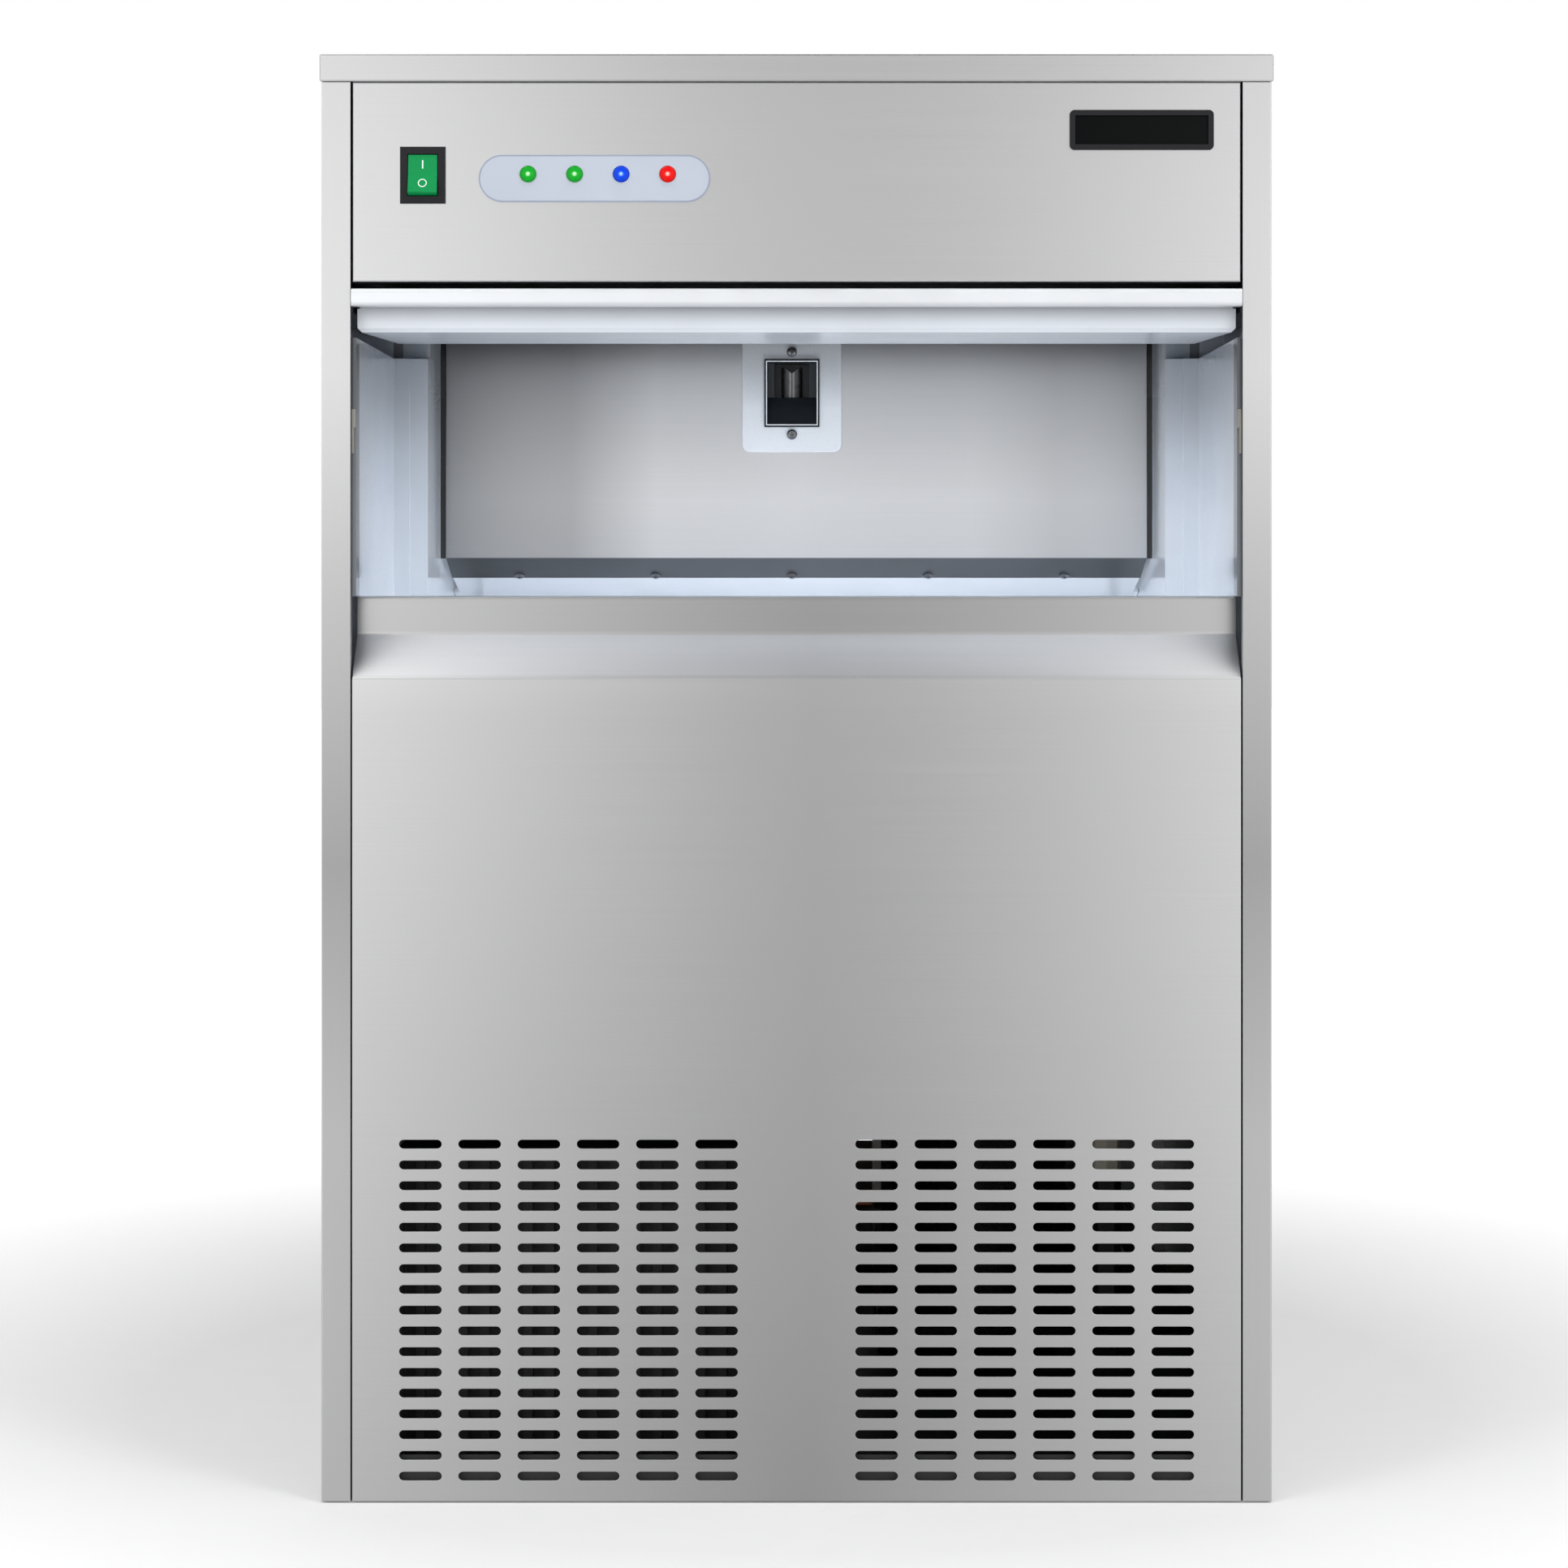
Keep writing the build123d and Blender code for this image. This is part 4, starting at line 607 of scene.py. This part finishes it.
def rounded(points, radius, steps=5):
    """An open outline whose inner corners are rounded."""
    path = [Vector(points[0])]
    for before, corner, after in zip(points, points[1:], points[2:]):
        corner = Vector(corner)
        back = (Vector(before) - corner).normalized()
        ahead = (Vector(after) - corner).normalized()
        half = back.angle(ahead) / 2
        centre = corner + (back + ahead).normalized() * (radius / math.sin(half))
        start = corner + back * (radius / math.tan(half)) - centre
        end = corner + ahead * (radius / math.tan(half)) - centre
        for step in range(steps + 1):
            blend = start.lerp(end, step / steps)
            path.append(centre + blend.normalized() * radius)
    path.append(Vector(points[-1]))
    return path


def thickened(path, thickness):
    """The closed section of a sheet whose outside is the given path, with its thickness to the left."""
    inside = []
    for index, point in enumerate(path):
        before = path[max(index - 1, 0)]
        after = path[min(index + 1, len(path) - 1)]
        along = (after - before).normalized()
        inside.append(point + Vector((-along.y, along.x)) * thickness)
    return path + inside[::-1]


def slot_points(x, z, steps=10):
    """The outline of one round-ended vent slot, centred on x and z."""
    radius = SLOT_HEIGHT / 2
    reach = SLOT_LENGTH / 2 - radius
    points = []
    for side in (1, -1):
        for step in range(steps + 1):
            turn = math.radians(-90) + math.pi * step / steps
            points.append((x + side * (reach + radius * math.cos(turn)), z + side * radius * math.sin(turn)))
    return points


def slotted_sheet(width, low, high, front):
    """The flat front of the lower panel, with its two groups of slots, as a mesh."""
    curve = bpy.data.curves.new("slotted_sheet", "CURVE")
    curve.dimensions = "2D"
    curve.fill_mode = "BOTH"
    curve.extrude = SHEET / 2
    outlines = [[(-width, low), (width, low), (width, high), (-width, high)]]
    for side in (-1, 1):
        for column in range(SLOT_COLUMNS):
            x = side * SLOT_GROUP_X + SLOT_PITCH_X * (column - (SLOT_COLUMNS - 1) / 2)
            outlines += [slot_points(x, SLOT_FIRST_Z + SLOT_PITCH_Z * row) for row in range(SLOT_ROWS)]
    for points in outlines:
        spline = curve.splines.new("POLY")
        spline.points.add(len(points) - 1)
        for point, (x, z) in zip(spline.points, points):
            point.co = (x, z, 0, 1)
        spline.use_cyclic_u = True
    holder = bpy.data.objects.new("slotted_sheet", curve)
    bpy.context.scene.collection.objects.link(holder)
    bpy.context.view_layer.update()
    mesh = bpy.data.meshes.new_from_object(holder.evaluated_get(bpy.context.evaluated_depsgraph_get()))
    mesh.transform(facing_front(0, front + SHEET / 2, 0))
    bpy.data.objects.remove(holder)
    return mesh


def make_front_panel():
    """The lower front: a slotted face, then a slope and a ledge with rounded bends."""
    low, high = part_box("lower_front_panel")
    front, back, half, sill = low.y, high.y, high.x, high.z
    ledge = front + SLOPE_DEPTH
    slope_top = sill - LEDGE_FACE
    slope_bottom = slope_top - SLOPE_DEPTH
    joint = slope_bottom - PLAIN_TOP
    shape = bmesh.new()
    shape.from_mesh(slotted_sheet(half, low.z, joint, front))
    corners = [(back, sill), (ledge, sill), (ledge, slope_top), (front, slope_bottom), (front, joint)]
    add_prism(shape, thickened(rounded(corners, BEND_RADIUS), SHEET), -half, half)
    foot = low.z + STIFFENER_FOOT
    stiffener = [(front + SHEET, foot), (front + STIFFENER_DEPTH, foot)]
    stiffener += [(front + STIFFENER_DEPTH, slope_bottom), (front + SHEET, slope_bottom)]
    add_prism(shape, stiffener, half - SHEET, half)
    add_prism(shape, stiffener, -half, SHEET - half)
    bmesh.ops.remove_doubles(shape, verts=shape.verts[:], dist=MERGE)
    seam = [face for face in shape.faces if all(abs(vert.co.z - joint) < MERGE for vert in face.verts)]
    bmesh.ops.delete(shape, geom=seam, context="FACES")
    piece("front_panel", shape, PANEL_STEEL, "cabinet", ["lower_front_panel"])


def record_slot(name):
    """The record's material slot of a CAD node."""
    return next(part["material_slot"] for part in frame["record"]["subparts"] if part["node"] == name)


def make_lamps():
    """Smooth domed lenses in place of the faceted ones."""
    for number in range(1, 5):
        name = f"indicator_lamp_{number}"
        low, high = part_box(name)
        seat_y = low.y + LAMP_BULGE
        middle = ((low.x + high.x) / 2, seat_y, (low.z + high.z) / 2)
        stem = seat_y - high.y
        rings = [(circle(STEM_RADIUS), stem), (circle(STEM_RADIUS), 0), (circle(LAMP_RADIUS), 0)]
        for degrees in range(90 - LAMP_STEP, 0, -LAMP_STEP):
            turn = math.radians(degrees)
            rings.append((circle(LAMP_RADIUS * math.sin(turn)), LAMP_BULGE * math.cos(turn)))
        rings.append((circle(LAMP_CROWN), LAMP_BULGE))
        shape = bmesh.new()
        add_loft(shape, rings, facing_front(*middle))
        slot = record_slot(name)
        piece(f"lamp_lens_{number}", shape, FINISHES[slot], "cabinet", [name], middle)


def stadium(length, height):
    """Points round a shape with round ends."""
    radius = height / 2
    reach = length / 2 - radius
    points = []
    for side in (1, -1):
        for step in range(STADIUM_STEPS + 1):
            turn = math.pi * (step / STADIUM_STEPS - 0.5)
            points.append((side * (reach + radius * math.cos(turn)), side * radius * math.sin(turn)))
    return points


def make_plate_edge():
    """The thin printed line round the indicator plate."""
    low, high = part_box("indicator_plate")
    middle = (low + high) / 2
    length, height = high.x - low.x, high.z - low.z
    inner = stadium(length - 2 * PLATE_LINE, height - 2 * PLATE_LINE)
    shape = bmesh.new()
    add_ring(shape, stadium(length, height), inner, facing_front(middle.x, low.y, middle.z), MARK_PROUD)
    piece("plate_edge", shape, RIM_GREY, "cabinet")


def make_rocker_marks():
    """The line and the circle on the two halves of the rocker."""
    low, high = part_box("switch_housing")
    middle = (low + high) / 2
    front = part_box("control_panel")[0].y
    pivot = Matrix.Translation((middle.x, front + ROCKER_PIVOT_DEPTH, middle.z))
    rocker = pivot @ Matrix.Rotation(math.radians(-ROCKER_TILT), 4, "X")
    slope = math.atan2(ROCKER_CREST - ROCKER_DIP, ROCKER_REACH)
    depth = (ROCKER_CREST + ROCKER_DIP) / 2
    faces = []
    for side in (1, -1):
        centre = Matrix.Translation((0, -depth, side * ROCKER_REACH / 2))
        faces.append(rocker @ centre @ Matrix.Rotation(math.radians(90) + side * slope, 4, "X"))
    shape = bmesh.new()
    half, reach = MARK_WIDTH / 2, MARK_HEIGHT / 2
    bar = [(-half, -reach), (half, -reach), (half, reach), (-half, reach)]
    add_loft(shape, [(bar, -MARK_PROUD), (bar, MARK_PROUD)], faces[0])
    add_ring(shape, circle(MARK_RADIUS), circle(MARK_RADIUS - MARK_STROKE), faces[1], MARK_PROUD)
    piece("rocker_marks", shape, MARK_WHITE, "power_rocker")


def islands(mesh):
    """The separate solids of a mesh, each as its faces, in the same order each time."""
    shape = bmesh.new()
    shape.from_mesh(mesh)
    bmesh.ops.remove_doubles(shape, verts=shape.verts[:], dist=SAME_POINT)
    found = []
    taken = set()
    for seed in shape.faces:
        island = [] if seed in taken else [seed]
        taken.update(island)
        for face in island:
            beside = [other for edge in face.edges for other in edge.link_faces if other not in taken]
            beside = list(dict.fromkeys(beside))
            taken.update(beside)
            island += beside
        if island:
            found.append(island)
    return shape, found


def make_screws(name, node_name, side):
    """Pan heads with a cross recess, in place of the CAD screws, whose caps face that side along Y."""
    mesh = frame["nodes"][node_name].data
    solids, found = islands(mesh)
    shape = bmesh.new()
    for island in found:
        outward = [face for face in island if face.normal.y * side > CAP_SLANT]
        score = {face: round(face.calc_area() / MM ** 2, 2) for face in outward}
        cap = max(outward, key=lambda face: score[face] + face.normal.y * side * TIE_BREAK)
        axis = cap.normal.copy()
        corners = list(dict.fromkeys(vert for face in island for vert in face.verts))
        reach = [vert.co.dot(axis) for vert in corners]
        centre = sum((vert.co for vert in corners), Vector()) / len(corners)
        length = max(reach) - min(reach)
        head = length if length < HEAD_ONLY else SCREW_HEIGHT
        place = Matrix.Translation(centre + axis * (max(reach) - head - centre.dot(axis)))
        place = place @ axis.to_track_quat("Z", "Y").to_matrix().to_4x4()
        rings = [(circle(SCREW_RADIUS * share), head * level) for share, level in HEAD_PROFILE]
        recess = cross(CROSS_REACH, CROSS_HALF)
        add_loft(shape, rings + [(recess, head), (recess, head - CROSS_DEPTH)], place)
    solids.free()
    piece(name, shape, FINISHES["screws"], "cabinet", [node_name])


def make_bulb():
    """The round ice level sensor, with a notch across its top."""
    low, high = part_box("sensor_bulb")
    middle = (low + high) / 2
    shape = bmesh.new()
    loops = []
    for dip in (high.z - low.z, 0):
        loop = []
        for x, y in circle(BULB_RADIUS):
            notch = 0 if dip else BULB_NOTCH * max(0.0, 1 - abs(x) / NOTCH_HALF)
            loop.append(shape.verts.new((middle.x + x, middle.y + y, high.z - dip - notch)))
        loops.append(loop)
    foot, crown = loops
    shape.faces.new(foot[::-1])
    for number, corner in enumerate(foot):
        following = (number + 1) % ROUND_STEPS
        shape.faces.new((corner, foot[following], crown[following], crown[number]))
    for number in range(ROUND_STEPS // 2):
        corners = [crown[number], crown[number + 1], crown[-number - 1], crown[-number % ROUND_STEPS]]
        shape.faces.new(list(dict.fromkeys(corners)))
    piece("sensor_probe", shape, BULB_DARK, "cabinet", ["sensor_bulb"], middle)


def rectangle(low, high, inset):
    """The corners of an (x, z) rectangle between two places, taken in on every side."""
    return [
        (low.x + inset, low.z + inset),
        (high.x - inset, low.z + inset),
        (high.x - inset, high.z - inset),
        (low.x + inset, high.z - inset),
    ]


def make_sensor_trim():
    """The bright line round the mouth of the sensor's housing."""
    low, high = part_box("sensor_housing")
    shape = bmesh.new()
    outer, inner = (rectangle(low, high, inset) for inset in (TRIM_INSET, TRIM_INSET + TRIM_WIDTH))
    add_ring(shape, outer, inner, facing_front(0, low.y, 0), MARK_PROUD)
    piece("sensor_trim", shape, TRIM_BRIGHT, "cabinet")


def blend_shaders(tree, factor, first, second):
    """The material's output, as a blend of two shaders."""
    blend = tree.nodes.new("ShaderNodeMixShader")
    connect(tree, factor, blend.inputs["Fac"])
    tree.links.new(first, blend.inputs[1])
    tree.links.new(second, blend.inputs[2])
    return blend.outputs["Shader"]


def make_floor():
    """A wide white floor that keeps the machine's shadow and fades to plain white far off.

    Reflections see it darker in front of the middle of each side.
    """
    mesh = bpy.data.meshes.new("floor")
    corners = [(-FLOOR_REACH, -FLOOR_REACH, 0), (FLOOR_REACH, -FLOOR_REACH, 0)]
    corners += [(FLOOR_REACH, FLOOR_REACH, 0), (-FLOOR_REACH, FLOOR_REACH, 0)]
    mesh.from_pydata(corners, [], [(0, 1, 2, 3)])
    floor = bpy.data.objects.new("floor", mesh)
    bpy.context.scene.collection.objects.link(floor)
    material, tree, shader = blank_material("floor_white")
    shader.inputs["Roughness"].default_value = 1.0
    shader.inputs["Specular IOR Level"].default_value = 0.0
    greys = [tone((grey,) * 3) for grey in FLOOR_GREYS]
    connect(tree, mixed(tree, noise(tree, FLOOR_CELLS), *greys), shader.inputs["Base Color"])
    place = node(tree, "ShaderNodeTexCoord")
    distance = node(tree, "ShaderNodeVectorMath", Vector=place.outputs["Object"])
    distance.operation = "LENGTH"
    lift = mapped(tree, distance.outputs["Value"], *FLOOR_FADE, *FLOOR_LIFT)
    ray = node(tree, "ShaderNodeLightPath")
    seen = scalar(tree, "MULTIPLY", ray.outputs["Is Camera Ray"], lift)
    shader.inputs["Emission Color"].default_value = (1, 1, 1, 1)
    connect(tree, seen, shader.inputs["Emission Strength"])
    parts = position(tree)
    aside = scalar(tree, "MINIMUM", *[scalar(tree, "ABSOLUTE", parts[axis], 0.0) for axis in "XY"])
    glow = node(tree, "ShaderNodeEmission", Color=ramp(tree, aside, FLOOR_GLOSS), Strength=1.0)
    glossy = ray.outputs["Is Glossy Ray"]
    surface = blend_shaders(tree, glossy, shader.outputs["BSDF"], glow.outputs["Emission"])
    tree.links.new(surface, tree.nodes["Material Output"].inputs["Surface"])
    mesh.materials.append(material)


def make_world():
    """Soft light from all round. The camera, glossy and clear surfaces see it as white."""
    world = bpy.data.worlds.new("studio")
    bpy.context.scene.world = world
    world.use_nodes = True
    tree = world.node_tree
    background = tree.nodes["Background"]
    background.inputs["Color"].default_value = (1, 1, 1, 1)
    ray = node(tree, "ShaderNodeLightPath")
    seen = scalar(tree, "MAXIMUM", ray.outputs["Is Camera Ray"], ray.outputs["Is Glossy Ray"])
    seen = scalar(tree, "MAXIMUM", seen, ray.outputs["Is Transmission Ray"])
    connect(tree, mapped(tree, seen, 0.0, 1.0, WORLD_LIGHT, 1.0), background.inputs["Strength"])


def softbox(name, place, target, size, power):
    """A rectangular studio light that faces its target. Reflections don't show it."""
    light = bpy.data.lights.new(name, "AREA")
    light.shape = "RECTANGLE"
    light.size, light.size_y = size
    light.energy = power
    lamp = bpy.data.objects.new(name, light)
    lamp.location = place
    lamp.rotation_euler = (Vector(target) - Vector(place)).to_track_quat("-Z", "Y").to_euler()
    lamp.visible_camera = False
    lamp.visible_glossy = False
    bpy.context.scene.collection.objects.link(lamp)


def card_material(name, strength, stops):
    """Light that changes across a card by the stops, and is dimmer near the floor and high up."""
    material, tree, shader = blank_material(name)
    shader.inputs["Base Color"].default_value = (0, 0, 0, 1)
    shader.inputs["Specular IOR Level"].default_value = 0.0
    parts = position(tree)
    across = mapped(tree, parts["X"], -CARD_HALF, CARD_HALF)
    connect(tree, ramp(tree, across, stops), shader.inputs["Emission Color"])
    upward = mapped(tree, parts["Z"], 0.0, CARD_HEIGHT)
    level = scalar(tree, "MULTIPLY", ramp(tree, upward, CARD_UPRIGHT), strength)
    connect(tree, level, shader.inputs["Emission Strength"])
    return material


def make_cards():
    """Cards on the four sides and overhead, which only reflections show."""
    wall = card_material("card_wall", CARD_STRENGTH, CARD_LIGHT)
    ceiling = card_material("card_ceiling", CEILING_STRENGTH, CEILING_LIGHT)
    for number in range(5):
        overhead = number == 4
        mesh = bpy.data.meshes.new(f"card_{number}")
        corners = [(-CARD_HALF, -CARD_DISTANCE, 0), (CARD_HALF, -CARD_DISTANCE, 0)]
        corners += [(CARD_HALF, -CARD_DISTANCE, CARD_HEIGHT), (-CARD_HALF, -CARD_DISTANCE, CARD_HEIGHT)]
        mesh.from_pydata(corners, [], [(0, 1, 2, 3)])
        mesh.materials.append(ceiling if overhead else wall)
        card = bpy.data.objects.new(f"card_{number}", mesh)
        card.rotation_euler = (math.radians(-90), 0, 0) if overhead else (0, 0, math.radians(90 * number))
        card.location = (0, -CARD_HEIGHT / 2, 0) if overhead else (0, 0, 0)
        card.scale.x = CEILING_WIDTH if overhead else 1.0
        card.visible_camera = False
        card.visible_diffuse = False
        card.visible_shadow = False
        card.visible_transmission = False
        bpy.context.scene.collection.objects.link(card)


def make_lights():
    for name, values in SOFTBOXES.items():
        softbox(name, *values)


def make_camera():
    camera = bpy.data.cameras.new("camera")
    camera.lens = CAMERA_LENS
    camera.sensor_width = CAMERA_SENSOR
    camera.shift_x, camera.shift_y = CAMERA_SHIFT
    holder = bpy.data.objects.new("camera", camera)
    holder.location = CAMERA_PLACE
    holder.rotation_euler = (math.radians(90), 0, 0)
    bpy.context.scene.collection.objects.link(holder)
    bpy.context.scene.camera = holder


dress_cad()
make_front_panel()
make_lamps()
make_plate_edge()
make_rocker_marks()
make_screws("compartment_heads", "compartment_screws", -1)
make_screws("back_heads", "back_panel_screws", 1)
make_bulb()
make_sensor_trim()
make_floor()
make_world()
make_cards()
make_lights()
make_camera()
bpy.context.scene.view_settings.view_transform = "Standard"
